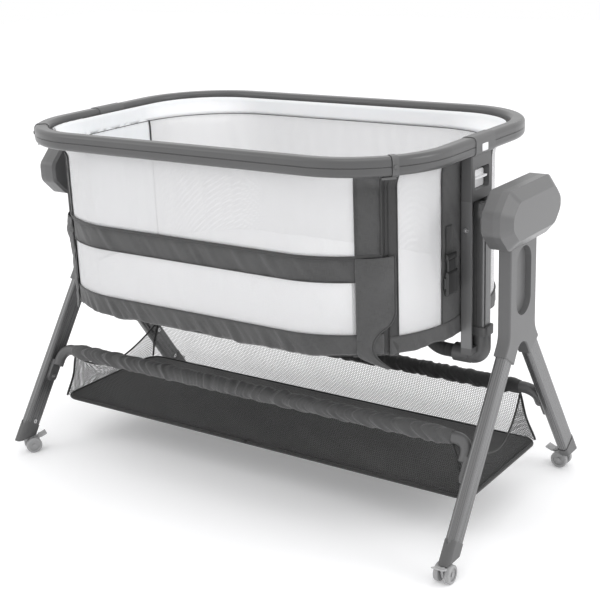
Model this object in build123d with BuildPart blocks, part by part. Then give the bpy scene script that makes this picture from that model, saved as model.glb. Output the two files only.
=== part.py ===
from build123d import *
import math
import os

# Bedside bassinet on a rolling stand, all sizes in millimetres.
# X runs along the bed (+X is the right end), -Y is the side that drops, +Z is up,
# and the origin is on the floor under the middle of the bed.

# ---------------------------------------------------------------- driving dimensions
# Rim: a rounded rail round the top of the bed, its near side is the rail that drops.
RIM_LENGTH = 880
RIM_WIDTH = 586
RIM_CORNER = 175
RIM_TOP = 700.5
RIM_HEIGHT = 31.5
RIM_DEPTH = 27
SEAM_ANGLE = 48          # where the drop rail ends on each near corner, from the near side
SOCKET_ANGLE = 4         # length of the corner socket along the corner
SEAM_GAP = 0.4           # degrees of gap between the drop rail and its sockets
CONNECTOR_HALF = 36      # half length of the connector over the middle of each end
COVER_GROW = 1.2         # how far sockets and connectors stand proud of the rim

# Fabric walls and what lies in them.
WALL_X = 408             # outer faces of the end and side walls
WALL_Y = 266
WALL_CORNER = 207
WALL = 3
WALL_TOP = 690
WALL_BOTTOM = 352
HINGE_Y = -267.8         # the drop side folds about this line, just outside the wall
HINGE_Z = 527
DECK_BOTTOM = 354
DECK = 6
MATTRESS = 38

# Columns at the ends of the bed, which slide on the stand.
COLUMN_X = 423           # middle of the channel
COLUMN_DEPTH = 22
COLUMN_WIDTH = 74
COLUMN_WALL = 3
COLUMN_FOOT = 326
COLUMN_SPLIT = 590       # top of the channel, bottom of the moulded column head
WINDOW_WIDTH = 54
WINDOW_LOW = 608
WINDOW_HIGH = 646
WINDOW_DEPTH = 17
RAIL_X = 431.5           # guide rail in the channel
RAIL_DEPTH = 31
RAIL_WIDTH = 26
RAIL_LOW = 355
TUBE_Z = 303             # sleeve and tube under the bed
SLEEVE_DIA = 34
ELBOW_DIA = 32
ELBOW_X = 436
COLLAR_TOP = 361
BED_TUBE_DIA = 25
BED_TUBE_HIGH = 341

# Stand: a yoke at each end, legs, feet and crossbars.
POST_X = 502.5
YOKE_THICK = 24
POST_HALF = 51.5
POST_TOP = 612
SHOULDER_Z = 358
CROTCH_Z = 361
CROTCH_ROUND = 22
LEG_SLOPE = 0.69         # sideways run of a leg for each millimetre of height
FOOT_Y = 249
FOOT_Z = 34
SOCKET_Z = 322           # where the leg tubes enter the yoke
SOCKET_DEPTH = 38
LEG_WIDE = 40
LEG_THICK = 19
LEG_WALL = 1.6
CAP_TOP = 60
CAP_FLOOR = 44
BAR_Z = 200
BAR_DIA = 22
BAR_BEND = 25
TAB_Z = 148

# Head boxes on top of the posts.
HEAD_IN = 484
HEAD_SEAM = 509
HEAD_OUT = 538
HEAD_HALF = 112
HEAD_LOW = 524
HEAD_HIGH = 626
HEAD_CORNER = 34
HEAD_WALL = 2.6
SLIDER_LOW = 528
SLIDER_HIGH = 578
CHEEK_LOW = 562          # guide cheeks of the right box, clear of the raised and leaning bed
CHEEK_HIGH = 586
PIVOT_X = 468

# Basket under the bed.
BASKET_BOARD_X = 484
BASKET_BOARD_Y = 144
BASKET_BOARD_Z = 90
BASKET_BOARD = 4
SLEEVE_HALF = 450
BASKET_SLEEVE_DIA = 30
MESH = 2

# Casters: twin wheels behind a swivel stem.
WHEEL_DIA = 33
WHEEL_THICK = 9
WHEEL_IN = 6
TRAIL = 14
STEM_DIA = 8
STEM_TOP = 50
LEVER_RUN = 12           # lever pin, beyond the axle and above it
LEVER_RISE = 13

LEG_ANGLE = math.atan(LEG_SLOPE)
RIM_Z = RIM_TOP - RIM_HEIGHT / 2
RIM_BOTTOM = RIM_TOP - RIM_HEIGHT
PATH_X = (RIM_LENGTH - RIM_DEPTH) / 2
PATH_Y = (RIM_WIDTH - RIM_DEPTH) / 2
PATH_R = RIM_CORNER - RIM_DEPTH / 2
CORNER_X = RIM_LENGTH / 2 - RIM_CORNER
CORNER_Y = RIM_WIDTH / 2 - RIM_CORNER
SIDES = {"front": -1, "rear": 1}
ENDS = {"left": -1, "right": 1}

os.makedirs("parts", exist_ok=True)


def write(name, piece):
    """Label a finished piece and write its STEP file."""
    piece.part.label = name
    export_step(piece.part, f"parts/{name}.step")


def mirrored(piece):
    """The same piece at the left end."""
    with BuildPart() as twin:
        mirror(piece.part, about=Plane.YZ)
    return twin


def write_ends(name, piece):
    """Write the right-hand piece and its mirror image."""
    write(f"{name}_right", piece)
    write(f"{name}_left", mirrored(piece))


def write_pair(name, piece):
    """Write a piece of the right end and its mirror image as one node."""
    with BuildPart() as both:
        add(piece.part)
        mirror(piece.part, about=Plane.YZ)
    write(name, both)


def leg_y(z):
    """Distance of a leg's centre line from the middle plane at a height."""
    return FOOT_Y - (z - FOOT_Z) * LEG_SLOPE


def leg_plane(side, z, x=POST_X):
    """Plane square to a leg at a height: local x across the leg, local z down the leg."""
    return Plane(
        origin=(x, side * leg_y(z), z),
        x_dir=(0, math.cos(LEG_ANGLE), side * math.sin(LEG_ANGLE)),
        z_dir=(0, side * math.sin(LEG_ANGLE), -math.cos(LEG_ANGLE)),
    )


def along_leg(z_from, z_to):
    """Length along a leg between two heights."""
    return (z_from - z_to) / math.cos(LEG_ANGLE)


def across(path):
    """Plane square to a rim path at its start: local x points outwards, local y down."""
    wire = path.wires()[0]
    start = wire @ 0
    along = wire % 0
    return Plane(origin=start, x_dir=(along.Y, -along.X, 0), z_dir=along)


def rim_section(grow=0.0):
    """Rounded rail section with a shallow crease along its outer face."""
    RectangleRounded(RIM_DEPTH + 2 * grow, RIM_HEIGHT + 2 * grow, 8 + grow)
    if grow == 0:
        with Locations((RIM_DEPTH / 2, 0)):
            Rectangle(1.6, 1.6, rotation=45, mode=Mode.SUBTRACT)


# ---------------------------------------------------------------- rim
with BuildPart() as drop_rail:
    with BuildLine(Plane.XY.offset(RIM_Z)) as near_path:
        CenterArc((-CORNER_X, -CORNER_Y), PATH_R, 270 - SEAM_ANGLE, SEAM_ANGLE)
        Line((-CORNER_X, -PATH_Y), (CORNER_X, -PATH_Y))
        CenterArc((CORNER_X, -CORNER_Y), PATH_R, 270, SEAM_ANGLE)
    with BuildSketch(across(near_path)):
        rim_section()
    sweep(path=near_path.wires()[0])
write("drop_rail", drop_rail)

with BuildPart() as rim_rear:
    with BuildLine(Plane.XY.offset(RIM_Z)) as far_path:
        Line((PATH_X, CONNECTOR_HALF), (PATH_X, CORNER_Y))
        CenterArc((CORNER_X, CORNER_Y), PATH_R, 0, 90)
        Line((CORNER_X, PATH_Y), (-CORNER_X, PATH_Y))
        CenterArc((-CORNER_X, CORNER_Y), PATH_R, 90, 90)
        Line((-PATH_X, CORNER_Y), (-PATH_X, CONNECTOR_HALF))
    with BuildSketch(across(far_path)):
        rim_section()
    sweep(path=far_path.wires()[0])
write("rim_rear", rim_rear)

SOCKET_END = SEAM_ANGLE + SOCKET_ANGLE
with BuildPart() as rim_corner:
    with BuildLine(Plane.XY.offset(RIM_Z)) as corner_path:
        CenterArc((CORNER_X, -CORNER_Y), PATH_R, 270 + SOCKET_END, 90 - SOCKET_END)
        Line((PATH_X, -CORNER_Y), (PATH_X, -CONNECTOR_HALF))
    with BuildSketch(across(corner_path)):
        rim_section()
    sweep(path=corner_path.wires()[0])
write_pair("rim_front_corners", rim_corner)

# Socket at the end of each near corner, with the lip that the drop rail rests on
# and a bore for its latch button.
SOCKET_MID = math.radians(270 + SEAM_ANGLE + SOCKET_ANGLE / 2)
BUTTON_OUT = Vector(math.cos(SOCKET_MID), math.sin(SOCKET_MID), 0)
BUTTON_DIA = 7
BUTTON_FACE = Vector(CORNER_X, -CORNER_Y, RIM_Z) + BUTTON_OUT * (RIM_CORNER + COVER_GROW)
BUTTON_DEPTH = 10
with BuildPart() as rail_socket:
    with BuildLine(Plane.XY.offset(RIM_Z)) as socket_path:
        CenterArc((CORNER_X, -CORNER_Y), PATH_R, 270 + SEAM_ANGLE + SEAM_GAP, SOCKET_ANGLE - SEAM_GAP)
    with BuildSketch(across(socket_path)):
        rim_section(COVER_GROW)
    sweep(path=socket_path.wires()[0])
    with BuildLine(Plane.XY.offset(RIM_BOTTOM - 2.8)) as lip_path:
        CenterArc((CORNER_X, -CORNER_Y), PATH_R, 270 + SEAM_ANGLE - 5, 8)
    with BuildSketch(across(lip_path)):
        Rectangle(18, 4)
    sweep(path=lip_path.wires()[0])
    with BuildSketch(Plane(origin=BUTTON_FACE, x_dir=(0, 0, 1), z_dir=BUTTON_OUT)):
        Circle(BUTTON_DIA / 2 + 0.15)
    extrude(amount=-BUTTON_DEPTH, mode=Mode.SUBTRACT)
write_pair("rail_sockets", rail_socket)

with BuildPart() as latch_button:
    with BuildSketch(Plane(origin=BUTTON_FACE + BUTTON_OUT * 2, x_dir=(0, 0, 1), z_dir=BUTTON_OUT)):
        Circle(BUTTON_DIA / 2)
    extrude(amount=-8)
    chamfer(latch_button.edges().group_by(lambda edge: edge.center().dot(BUTTON_OUT))[-1], 0.8)
write_ends("latch_button", latch_button)

# ---------------------------------------------------------------- columns
with BuildPart() as end_connector:
    with BuildSketch(Plane.XZ.offset(-CONNECTOR_HALF)):
        with Locations((PATH_X, RIM_Z)):
            RectangleRounded(RIM_DEPTH + 2 * COVER_GROW, RIM_HEIGHT + 2 * COVER_GROW, 8 + COVER_GROW)
    extrude(amount=2 * CONNECTOR_HALF)
write_pair("end_connectors", end_connector)

HEAD_TOP = RIM_BOTTOM - COVER_GROW
COLUMN_OUT = COLUMN_X + COLUMN_DEPTH / 2
WINDOW_MID = (WINDOW_LOW + WINDOW_HIGH) / 2
with BuildPart() as column_head:
    with BuildSketch(Plane.XY.offset(COLUMN_SPLIT)):
        with Locations((COLUMN_X, 0)):
            Rectangle(COLUMN_DEPTH, COLUMN_WIDTH)
    extrude(amount=HEAD_TOP - COLUMN_SPLIT)
    fillet(column_head.edges().filter_by(Axis.Z), 3)
    with BuildSketch(Plane.YZ.offset(COLUMN_OUT)):
        with Locations((0, WINDOW_MID)):
            RectangleRounded(WINDOW_WIDTH, WINDOW_HIGH - WINDOW_LOW, 6)
    extrude(amount=-WINDOW_DEPTH, mode=Mode.SUBTRACT)
write_pair("column_heads", column_head)

# White release handle in the window: a plate with a finger ledge, lifted to free the column.
HANDLE_WIDTH = WINDOW_WIDTH - 2
HANDLE_LOW = WINDOW_LOW + 0.5
HANDLE_HIGH = WINDOW_HIGH - 7
HANDLE_BACK = COLUMN_OUT - WINDOW_DEPTH + 0.5
with BuildPart() as release_handle:
    with BuildSketch(Plane.YZ.offset(HANDLE_BACK)):
        with Locations((0, (HANDLE_LOW + HANDLE_HIGH) / 2)):
            RectangleRounded(HANDLE_WIDTH, HANDLE_HIGH - HANDLE_LOW, 5)
    extrude(amount=6)
    with BuildSketch(Plane.YZ.offset(HANDLE_BACK + 6)):
        with Locations((0, (HANDLE_LOW + HANDLE_HIGH) / 2 + 3)):
            RectangleRounded(HANDLE_WIDTH - 4, 3.6, 1.5)
    extrude(amount=8)
write_ends("release_handle", release_handle)

with BuildPart() as column:
    with BuildSketch(Plane.XY.offset(COLUMN_FOOT)):
        with Locations((COLUMN_X, 0)):
            Rectangle(COLUMN_DEPTH, COLUMN_WIDTH)
        with Locations((COLUMN_X + COLUMN_WALL, 0)):
            Rectangle(COLUMN_DEPTH, COLUMN_WIDTH - 2 * COLUMN_WALL, mode=Mode.SUBTRACT)
    extrude(amount=COLUMN_SPLIT - COLUMN_FOOT)
    fillet(column.edges().filter_by(Axis.Z).sort_by(Axis.X)[:2], 2.5)
    with BuildSketch(Plane.XZ.offset(-COLUMN_WIDTH / 2)):
        with Locations((COLUMN_X, 540)):
            Circle(2.6)
    extrude(amount=COLUMN_WIDTH, mode=Mode.SUBTRACT)
write_ends("column", column)

with BuildPart() as guide_rail:
    with BuildSketch(Plane.XY.offset(RAIL_LOW)):
        with Locations((RAIL_X, 0)):
            RectangleRounded(RAIL_DEPTH, RAIL_WIDTH, 4)
            RectangleRounded(RAIL_DEPTH - 4, RAIL_WIDTH - 4, 2, mode=Mode.SUBTRACT)
    extrude(amount=COLUMN_SPLIT - 2 - RAIL_LOW)
write_pair("guide_rails", guide_rail)

# Moulded foot: sleeve for the bed tube, elbow, collar for the guide rail, plug for the channel.
with BuildPart() as column_foot:
    with BuildSketch(Plane.YZ.offset(COLUMN_X - 39)):
        with Locations((0, TUBE_Z)):
            Circle(SLEEVE_DIA / 2)
    extrude(amount=32)
    with BuildLine(Plane.XZ) as elbow_path:
        Line((COLUMN_X - 8, TUBE_Z), (COLUMN_X - 5, TUBE_Z))
        CenterArc((COLUMN_X - 5, TUBE_Z + 18), 18, 270, 90)
        Line((ELBOW_X, TUBE_Z + 18), (ELBOW_X, COLLAR_TOP - 12))
    with BuildSketch(Plane.YZ.offset(COLUMN_X - 8)):
        with Locations((0, TUBE_Z)):
            Circle(ELBOW_DIA / 2)
    sweep(path=elbow_path.wires()[0])
    with BuildSketch(Plane.XY.offset(COLLAR_TOP - 16)):
        with Locations((RAIL_X + 2.5, 0)):
            RectangleRounded(RAIL_DEPTH + 5, RAIL_WIDTH + 8, 6)
    extrude(amount=16)
    with BuildSketch(Plane.XY.offset(COLUMN_FOOT - 12)):
        with Locations((COLUMN_X, 0)):
            RectangleRounded(COLUMN_DEPTH, COLUMN_WIDTH, 2.5)
    extrude(amount=12)
    with BuildSketch(Plane.XY.offset(RAIL_LOW)):
        with Locations((RAIL_X, 0)):
            RectangleRounded(RAIL_DEPTH, RAIL_WIDTH, 4)
    extrude(amount=20, mode=Mode.SUBTRACT)
    with BuildSketch(Plane.YZ.offset(COLUMN_X - 39)):
        with Locations((0, TUBE_Z)):
            Circle(BED_TUBE_DIA / 2)
    extrude(amount=30, mode=Mode.SUBTRACT)
    with BuildSketch(Plane.XY.offset(COLUMN_FOOT)):
        with Locations((COLUMN_X, 0)):
            Rectangle(COLUMN_DEPTH + 1, COLUMN_WIDTH + 1)
        with Locations((COLUMN_X + COLUMN_WALL, 0)):
            Rectangle(COLUMN_DEPTH + 2, COLUMN_WIDTH - 2 * COLUMN_WALL, mode=Mode.SUBTRACT)
    extrude(amount=COLLAR_TOP - COLUMN_FOOT, mode=Mode.SUBTRACT)
write_ends("column_foot", column_foot)

# Tube under the bed: level in its sleeves, then cranked up to run under the deck.
CRANK_R = 45
CRANK_TURN = math.degrees(math.acos(1 - (BED_TUBE_HIGH - TUBE_Z) / 2 / CRANK_R))
CRANK_RUN = CRANK_R * math.sin(math.radians(CRANK_TURN))
TUBE_END = COLUMN_X - 10
CRANK_START = 365
with BuildPart() as bed_tube:
    with BuildLine(Plane.XZ) as bed_path:
        Line((-TUBE_END, TUBE_Z), (-CRANK_START, TUBE_Z))
        CenterArc((-CRANK_START, TUBE_Z + CRANK_R), CRANK_R, 270, CRANK_TURN)
        CenterArc(
            (-CRANK_START + 2 * CRANK_RUN, BED_TUBE_HIGH - CRANK_R), CRANK_R, 90 + CRANK_TURN, -CRANK_TURN
        )
        Line((-CRANK_START + 2 * CRANK_RUN, BED_TUBE_HIGH), (CRANK_START - 2 * CRANK_RUN, BED_TUBE_HIGH))
        CenterArc((CRANK_START - 2 * CRANK_RUN, BED_TUBE_HIGH - CRANK_R), CRANK_R, 90, -CRANK_TURN)
        CenterArc((CRANK_START, TUBE_Z + CRANK_R), CRANK_R, 270 - CRANK_TURN, CRANK_TURN)
        Line((CRANK_START, TUBE_Z), (TUBE_END, TUBE_Z))
    with BuildSketch(Plane.YZ.offset(-TUBE_END)):
        with Locations((0, TUBE_Z)):
            Circle(BED_TUBE_DIA / 2)
            Circle(BED_TUBE_DIA / 2 - 1.5, mode=Mode.SUBTRACT)
    sweep(path=bed_path.wires()[0])
write("bed_tube", bed_tube)

SCREW_DIA = 5
with BuildPart() as column_screw:
    for side in SIDES.values():
        with BuildSketch(Plane(origin=(COLUMN_X, side * COLUMN_WIDTH / 2, 540), z_dir=(0, side, 0))):
            Circle(4.5)
        extrude(amount=2.4)
        with BuildSketch(Plane(origin=(COLUMN_X, side * COLUMN_WIDTH / 2, 540), z_dir=(0, -side, 0))):
            Circle(SCREW_DIA / 2)
        extrude(amount=9)
        head_face = (COLUMN_X, side * (COLUMN_WIDTH / 2 + 2.4), 540)
        with BuildSketch(Plane(origin=head_face, z_dir=(0, -side, 0))):
            RegularPolygon(1.8, 6)
        extrude(amount=1.6, mode=Mode.SUBTRACT)
write_pair("column_screws", column_screw)

# ---------------------------------------------------------------- deck, mattress and walls
with BuildPart() as deck_board:
    with BuildSketch(Plane.XY.offset(DECK_BOTTOM)):
        RectangleRounded(2 * (WALL_X - WALL) - 2, 2 * (WALL_Y - WALL) - 2, WALL_CORNER - WALL - 1)
    extrude(amount=DECK)
write("deck_board", deck_board)

with BuildPart() as mattress:
    with BuildSketch(Plane.XY.offset(DECK_BOTTOM + DECK)):
        RectangleRounded(2 * (WALL_X - WALL) - 3, 2 * (WALL_Y - WALL) - 3, WALL_CORNER - WALL - 1.5)
    extrude(amount=MATTRESS)
    fillet(mattress.edges().filter_by(Plane.XY), 9)
write("mattress", mattress)

WALL_CX = WALL_X - WALL_CORNER
WALL_CY = WALL_Y - WALL_CORNER
WALL_R = WALL_CORNER - WALL / 2
WALL_SEAM = 0.5          # degrees left open along each zip


def wall(path, low, high):
    """Upright sheet of wall fabric along a path."""
    with BuildSketch(across(path)) as section:
        with Locations((0, (low - high) / 2)):
            Rectangle(WALL, high - low)
    sweep(section.sketch, path=path.wires()[0])


with BuildPart() as front_wall:
    with BuildLine(Plane.XY.offset(WALL_BOTTOM)) as front_path:
        CenterArc((-WALL_CX, -WALL_CY), WALL_R, 270 - SEAM_ANGLE, SEAM_ANGLE)
        Line((-WALL_CX, -WALL_CY - WALL_R), (WALL_CX, -WALL_CY - WALL_R))
        CenterArc((WALL_CX, -WALL_CY), WALL_R, 270, SEAM_ANGLE)
    wall(front_path, WALL_BOTTOM, HINGE_Z - 2.5)
write("front_wall", front_wall)

with BuildPart() as drop_panel:
    with BuildLine(Plane.XY.offset(HINGE_Z + 0.3)) as drop_path:
        CenterArc((-WALL_CX, -WALL_CY), WALL_R, 270 - SEAM_ANGLE, SEAM_ANGLE)
        Line((-WALL_CX, -WALL_CY - WALL_R), (WALL_CX, -WALL_CY - WALL_R))
        CenterArc((WALL_CX, -WALL_CY), WALL_R, 270, SEAM_ANGLE)
    wall(drop_path, HINGE_Z + 0.3, WALL_TOP)
write("drop_panel", drop_panel)

# Piping sewn along the fold, on the hinge line.
PIPING_DIA = 3
with BuildPart() as fold_piping:
    with BuildSketch(Plane.YZ.offset(-WALL_CX)):
        with Locations((HINGE_Y, HINGE_Z)):
            Circle(PIPING_DIA / 2)
    extrude(amount=2 * WALL_CX)
write("fold_piping", fold_piping)

with BuildPart() as end_wall:
    with BuildLine(Plane.XY.offset(WALL_BOTTOM)) as end_path:
        CenterArc(
            (WALL_CX, -WALL_CY), WALL_R, 270 + SEAM_ANGLE + WALL_SEAM, 90 - SEAM_ANGLE - WALL_SEAM
        )
        Line((WALL_CX + WALL_R, -WALL_CY), (WALL_CX + WALL_R, WALL_CY))
        CenterArc((WALL_CX, WALL_CY), WALL_R, 0, 90)
    wall(end_path, WALL_BOTTOM, WALL_TOP)
write_ends("end_wall", end_wall)

with BuildPart() as rear_wall:
    with BuildSketch(Plane.XY.offset(WALL_BOTTOM)):
        with Locations((0, WALL_CY + WALL_R)):
            Rectangle(2 * WALL_CX, WALL)
    extrude(amount=WALL_TOP - WALL_BOTTOM)
write("rear_wall", rear_wall)

# ---------------------------------------------------------------- stand: yokes and legs
YOKE_IN = POST_X - YOKE_THICK / 2
YOKE_OUT = POST_X + YOKE_THICK / 2
ARM_HALF = LEG_WIDE / 2 + 1.6
ARM_Y = ARM_HALF * math.cos(LEG_ANGLE)
ARM_Z = ARM_HALF * math.sin(LEG_ANGLE)
POCKET_LOW = 393
POCKET_HIGH = 516
with BuildPart() as yoke:
    with BuildSketch(Plane.YZ.offset(YOKE_IN)):
        with BuildLine():
            half = [
                (POST_HALF, POST_TOP),
                (POST_HALF, SHOULDER_Z),
                (leg_y(SOCKET_Z) + ARM_Y, SOCKET_Z + ARM_Z),
                (leg_y(SOCKET_Z) - ARM_Y, SOCKET_Z - ARM_Z),
            ]
            Polyline(*half, (0, CROTCH_Z), *[(-y, z) for y, z in reversed(half)], close=True)
        make_face()
    extrude(amount=YOKE_THICK)
    crotch = yoke.edges().filter_by(Axis.X).filter_by(lambda edge: abs(edge.center().Y) < 1)
    fillet(crotch, CROTCH_ROUND)
    shoulders = yoke.edges().filter_by(Axis.X).filter_by(lambda edge: abs(edge.center().Z - SHOULDER_Z) < 1)
    fillet(shoulders, 40)
    fillet(yoke.faces().sort_by(Axis.X)[-1].outer_wire().edges(), 3)
    fillet(yoke.faces().sort_by(Axis.X)[0].outer_wire().edges(), 3)
    with BuildSketch(Plane.YZ.offset(YOKE_OUT)):
        with Locations((0, (POCKET_LOW + POCKET_HIGH) / 2)):
            SlotOverall(POCKET_HIGH - POCKET_LOW, 58, rotation=90)
    extrude(amount=-10, taper=12, mode=Mode.SUBTRACT)
    for side in SIDES.values():
        with BuildSketch(leg_plane(side, SOCKET_Z)):
            RectangleRounded(LEG_WIDE, LEG_THICK, 7)
        extrude(amount=-SOCKET_DEPTH, mode=Mode.SUBTRACT)
write_ends("yoke", yoke)

SCREW_Z = 64
LEG_TOP = SOCKET_Z + SOCKET_DEPTH * math.cos(LEG_ANGLE)


def leg(side):
    """Flat-oval leg tube of the right end, drilled for the bar and foot screws."""
    with BuildPart() as tube:
        with BuildSketch(leg_plane(side, LEG_TOP)):
            RectangleRounded(LEG_WIDE, LEG_THICK, 7)
            offset(amount=-LEG_WALL, kind=Kind.ARC, mode=Mode.SUBTRACT)
        extrude(amount=along_leg(LEG_TOP, CAP_FLOOR))
        for z in (TAB_Z, SCREW_Z):
            with BuildSketch(Plane.YZ.offset(POST_X - LEG_THICK / 2 - 1)):
                with Locations((side * leg_y(z), z)):
                    Circle(SCREW_DIA / 2 + 0.1)
            extrude(amount=LEG_THICK / 2, mode=Mode.SUBTRACT)
    return tube


for side_name, side in SIDES.items():
    write_ends(f"leg_{side_name}", leg(side))

with BuildPart() as foot_caps:
    for side in SIDES.values():
        with BuildSketch(leg_plane(side, CAP_TOP)):
            RectangleRounded(LEG_WIDE + 2.4, LEG_THICK + 2.4, 8.2)
        extrude(amount=along_leg(CAP_TOP, FOOT_Z - 20))
        with BuildSketch(leg_plane(side, CAP_TOP)):
            RectangleRounded(LEG_WIDE, LEG_THICK, 7)
        extrude(amount=along_leg(CAP_TOP, CAP_FLOOR), mode=Mode.SUBTRACT)
    split(bisect_by=Plane.XY.offset(FOOT_Z), keep=Keep.TOP)
    for side in SIDES.values():
        with BuildSketch(Plane.XY.offset(FOOT_Z)):
            with Locations((POST_X, side * FOOT_Y)):
                Circle(STEM_DIA / 2 + 0.06)
        extrude(amount=40, mode=Mode.SUBTRACT)
    mirror(about=Plane.YZ)
write("foot_caps", foot_caps)

# ---------------------------------------------------------------- crossbars
LEG_FACE = POST_X - LEG_THICK / 2
DROP_X = LEG_FACE - BAR_DIA / 2
TAB_THICK = 8
BAR_DOWN = 14


def crossbar(side):
    """Steel tube from leg to leg, its ends bent down the legs and flattened into tabs."""
    down = Vector(0, side * math.sin(LEG_ANGLE), -math.cos(LEG_ANGLE))
    axis = Vector(0, side * leg_y(BAR_Z), BAR_Z)
    bend = Plane(origin=axis, x_dir=(1, 0, 0), z_dir=Vector(1, 0, 0).cross(down * -1))
    with BuildPart() as bar:
        with BuildLine(bend) as bar_path:
            Line((0, 0), (DROP_X - BAR_BEND, 0))
            CenterArc((DROP_X - BAR_BEND, -BAR_BEND), BAR_BEND, 90, -90)
            Line((DROP_X, -BAR_BEND), (DROP_X, -BAR_BEND - BAR_DOWN))
        with BuildSketch(Plane(origin=axis, z_dir=(1, 0, 0))):
            Circle(BAR_DIA / 2)
        sweep(path=bar_path.wires()[0])
        tab = leg_plane(side, BAR_Z - (BAR_BEND + 4) * math.cos(LEG_ANGLE), LEG_FACE - TAB_THICK / 2)
        with BuildSketch(tab):
            Rectangle(BAR_DIA, TAB_THICK)
        extrude(amount=along_leg(BAR_Z - (BAR_BEND + 4) * math.cos(LEG_ANGLE), TAB_Z))
        with BuildSketch(Plane.YZ.offset(LEG_FACE - TAB_THICK)):
            with Locations((side * leg_y(TAB_Z), TAB_Z)):
                Circle(BAR_DIA / 2)
        extrude(amount=TAB_THICK)
        with BuildSketch(Plane.YZ.offset(LEG_FACE - TAB_THICK)):
            with Locations((side * leg_y(TAB_Z), TAB_Z)):
                Circle(SCREW_DIA / 2 + 0.1)
        extrude(amount=TAB_THICK, mode=Mode.SUBTRACT)
        mirror(about=Plane.YZ)
    return bar


for side_name, side in SIDES.items():
    write(f"crossbar_{side_name}", crossbar(side))


def screw(x, y, z, length):
    """Button-head screw driven outwards along +X, head on the plane at x."""
    with BuildSketch(Plane.YZ.offset(x - 2.6)) as head:
        with Locations((y, z)):
            Circle(4.6)
    extrude(head.sketch, amount=2.6)
    with BuildSketch(Plane.YZ.offset(x)) as shank:
        with Locations((y, z)):
            Circle(SCREW_DIA / 2)
    extrude(shank.sketch, amount=length)
    with BuildSketch(Plane.YZ.offset(x - 2.6)) as socket:
        with Locations((y, z)):
            RegularPolygon(1.9, 6)
    extrude(socket.sketch, amount=1.8, mode=Mode.SUBTRACT)


with BuildPart() as frame_screws:
    for side in SIDES.values():
        screw(LEG_FACE - TAB_THICK, side * leg_y(TAB_Z), TAB_Z, TAB_THICK + 4)
        screw(LEG_FACE, side * leg_y(SCREW_Z), SCREW_Z, 4)
    mirror(about=Plane.YZ)
write("frame_screws", frame_screws)

# ---------------------------------------------------------------- head boxes
HEAD_MID = (HEAD_LOW + HEAD_HIGH) / 2
HEAD_TALL = HEAD_HIGH - HEAD_LOW
HEAD_BEVEL = 16
HEAD_INSET = 18
HEAD_ROUND = 20


def head_outline(inset=0.0):
    """Outline of a head box seen along the bed: a rectangle with broad cut corners."""
    half = HEAD_HALF - inset
    low = HEAD_LOW + inset
    high = HEAD_HIGH - inset
    cut = HEAD_CORNER - inset * 0.6
    right = [(half - cut, low), (half, low + cut), (half, high - cut), (half - cut, high)]
    outline = Polygon(*right, *[(-y, z) for y, z in reversed(right)], align=None)
    fillet(outline.vertices(), HEAD_ROUND)


def post_hole():
    """Hole in the floor of a head box where the post comes in."""
    with BuildSketch(Plane.XY.offset(HEAD_LOW - 1)) as hole:
        with Locations((POST_X, 0)):
            Rectangle(YOKE_THICK, 2 * POST_HALF)
    extrude(hole.sketch, amount=HEAD_WALL + 4, mode=Mode.SUBTRACT)


with BuildPart() as head_outer:
    with BuildSketch(Plane.YZ.offset(HEAD_SEAM)):
        head_outline()
    extrude(amount=HEAD_OUT - HEAD_BEVEL - HEAD_SEAM)
    with BuildSketch(Plane.YZ.offset(HEAD_OUT - HEAD_BEVEL)):
        head_outline()
    with BuildSketch(Plane.YZ.offset(HEAD_OUT)):
        head_outline(HEAD_INSET)
    loft()
    with BuildSketch(Plane.YZ.offset(HEAD_SEAM)):
        head_outline(HEAD_WALL)
    extrude(amount=HEAD_OUT - HEAD_BEVEL - HEAD_SEAM, mode=Mode.SUBTRACT)
    with BuildSketch(Plane.YZ.offset(HEAD_OUT - HEAD_BEVEL)):
        head_outline(HEAD_WALL)
    with BuildSketch(Plane.YZ.offset(HEAD_OUT - HEAD_WALL)):
        head_outline(HEAD_INSET)
    loft(mode=Mode.SUBTRACT)
    post_hole()
write_ends("head_outer", head_outer)

with BuildPart() as head_inner:
    with BuildSketch(Plane.YZ.offset(HEAD_IN)):
        head_outline(5)
    with BuildSketch(Plane.YZ.offset(HEAD_IN + 5)):
        head_outline()
    loft()
    with BuildSketch(Plane.YZ.offset(HEAD_IN + 5)):
        head_outline()
    extrude(amount=HEAD_SEAM - HEAD_IN - 5)
    with BuildSketch(Plane.YZ.offset(HEAD_IN + HEAD_WALL)):
        head_outline(HEAD_WALL + 3)
    extrude(amount=HEAD_SEAM - HEAD_IN, mode=Mode.SUBTRACT)
    post_hole()

# The right box carries two cheeks that guide its rail and leave it free to lean.
CHEEK_IN = RAIL_WIDTH / 2 + 0.3
CHEEK_OUT = 25
with BuildPart() as head_inner_right:
    add(head_inner.part)
    for side in SIDES.values():
        with BuildSketch(Plane.XY.offset(CHEEK_LOW)):
            with Locations(((440 + HEAD_IN) / 2, side * (CHEEK_IN + CHEEK_OUT) / 2)):
                Rectangle(HEAD_IN - 440, CHEEK_OUT - CHEEK_IN)
        extrude(amount=CHEEK_HIGH - CHEEK_LOW)
write("head_inner_right", head_inner_right)

# The left box carries two lugs for the pin of the slider, so that the bed can lean.
SLIDER_MID = (SLIDER_LOW + SLIDER_HIGH) / 2
PIN_DIA = 10
with BuildPart() as head_inner_left:
    mirror(head_inner.part, about=Plane.YZ)
    for side in SIDES.values():
        with BuildSketch(Plane.XZ.offset(-side * 30.5 - 4)):
            with Locations((-(PIVOT_X - 11 + HEAD_IN) / 2, SLIDER_MID)):
                RectangleRounded(HEAD_IN - PIVOT_X + 11, 24, 4)
            with Locations((-PIVOT_X, SLIDER_MID)):
                Circle(PIN_DIA / 2 + 0.05, mode=Mode.SUBTRACT)
            with Locations((-HEAD_IN + 2, SLIDER_MID)):
                Rectangle(4, 24)
        extrude(amount=8)
write("head_inner_left", head_inner_left)

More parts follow.
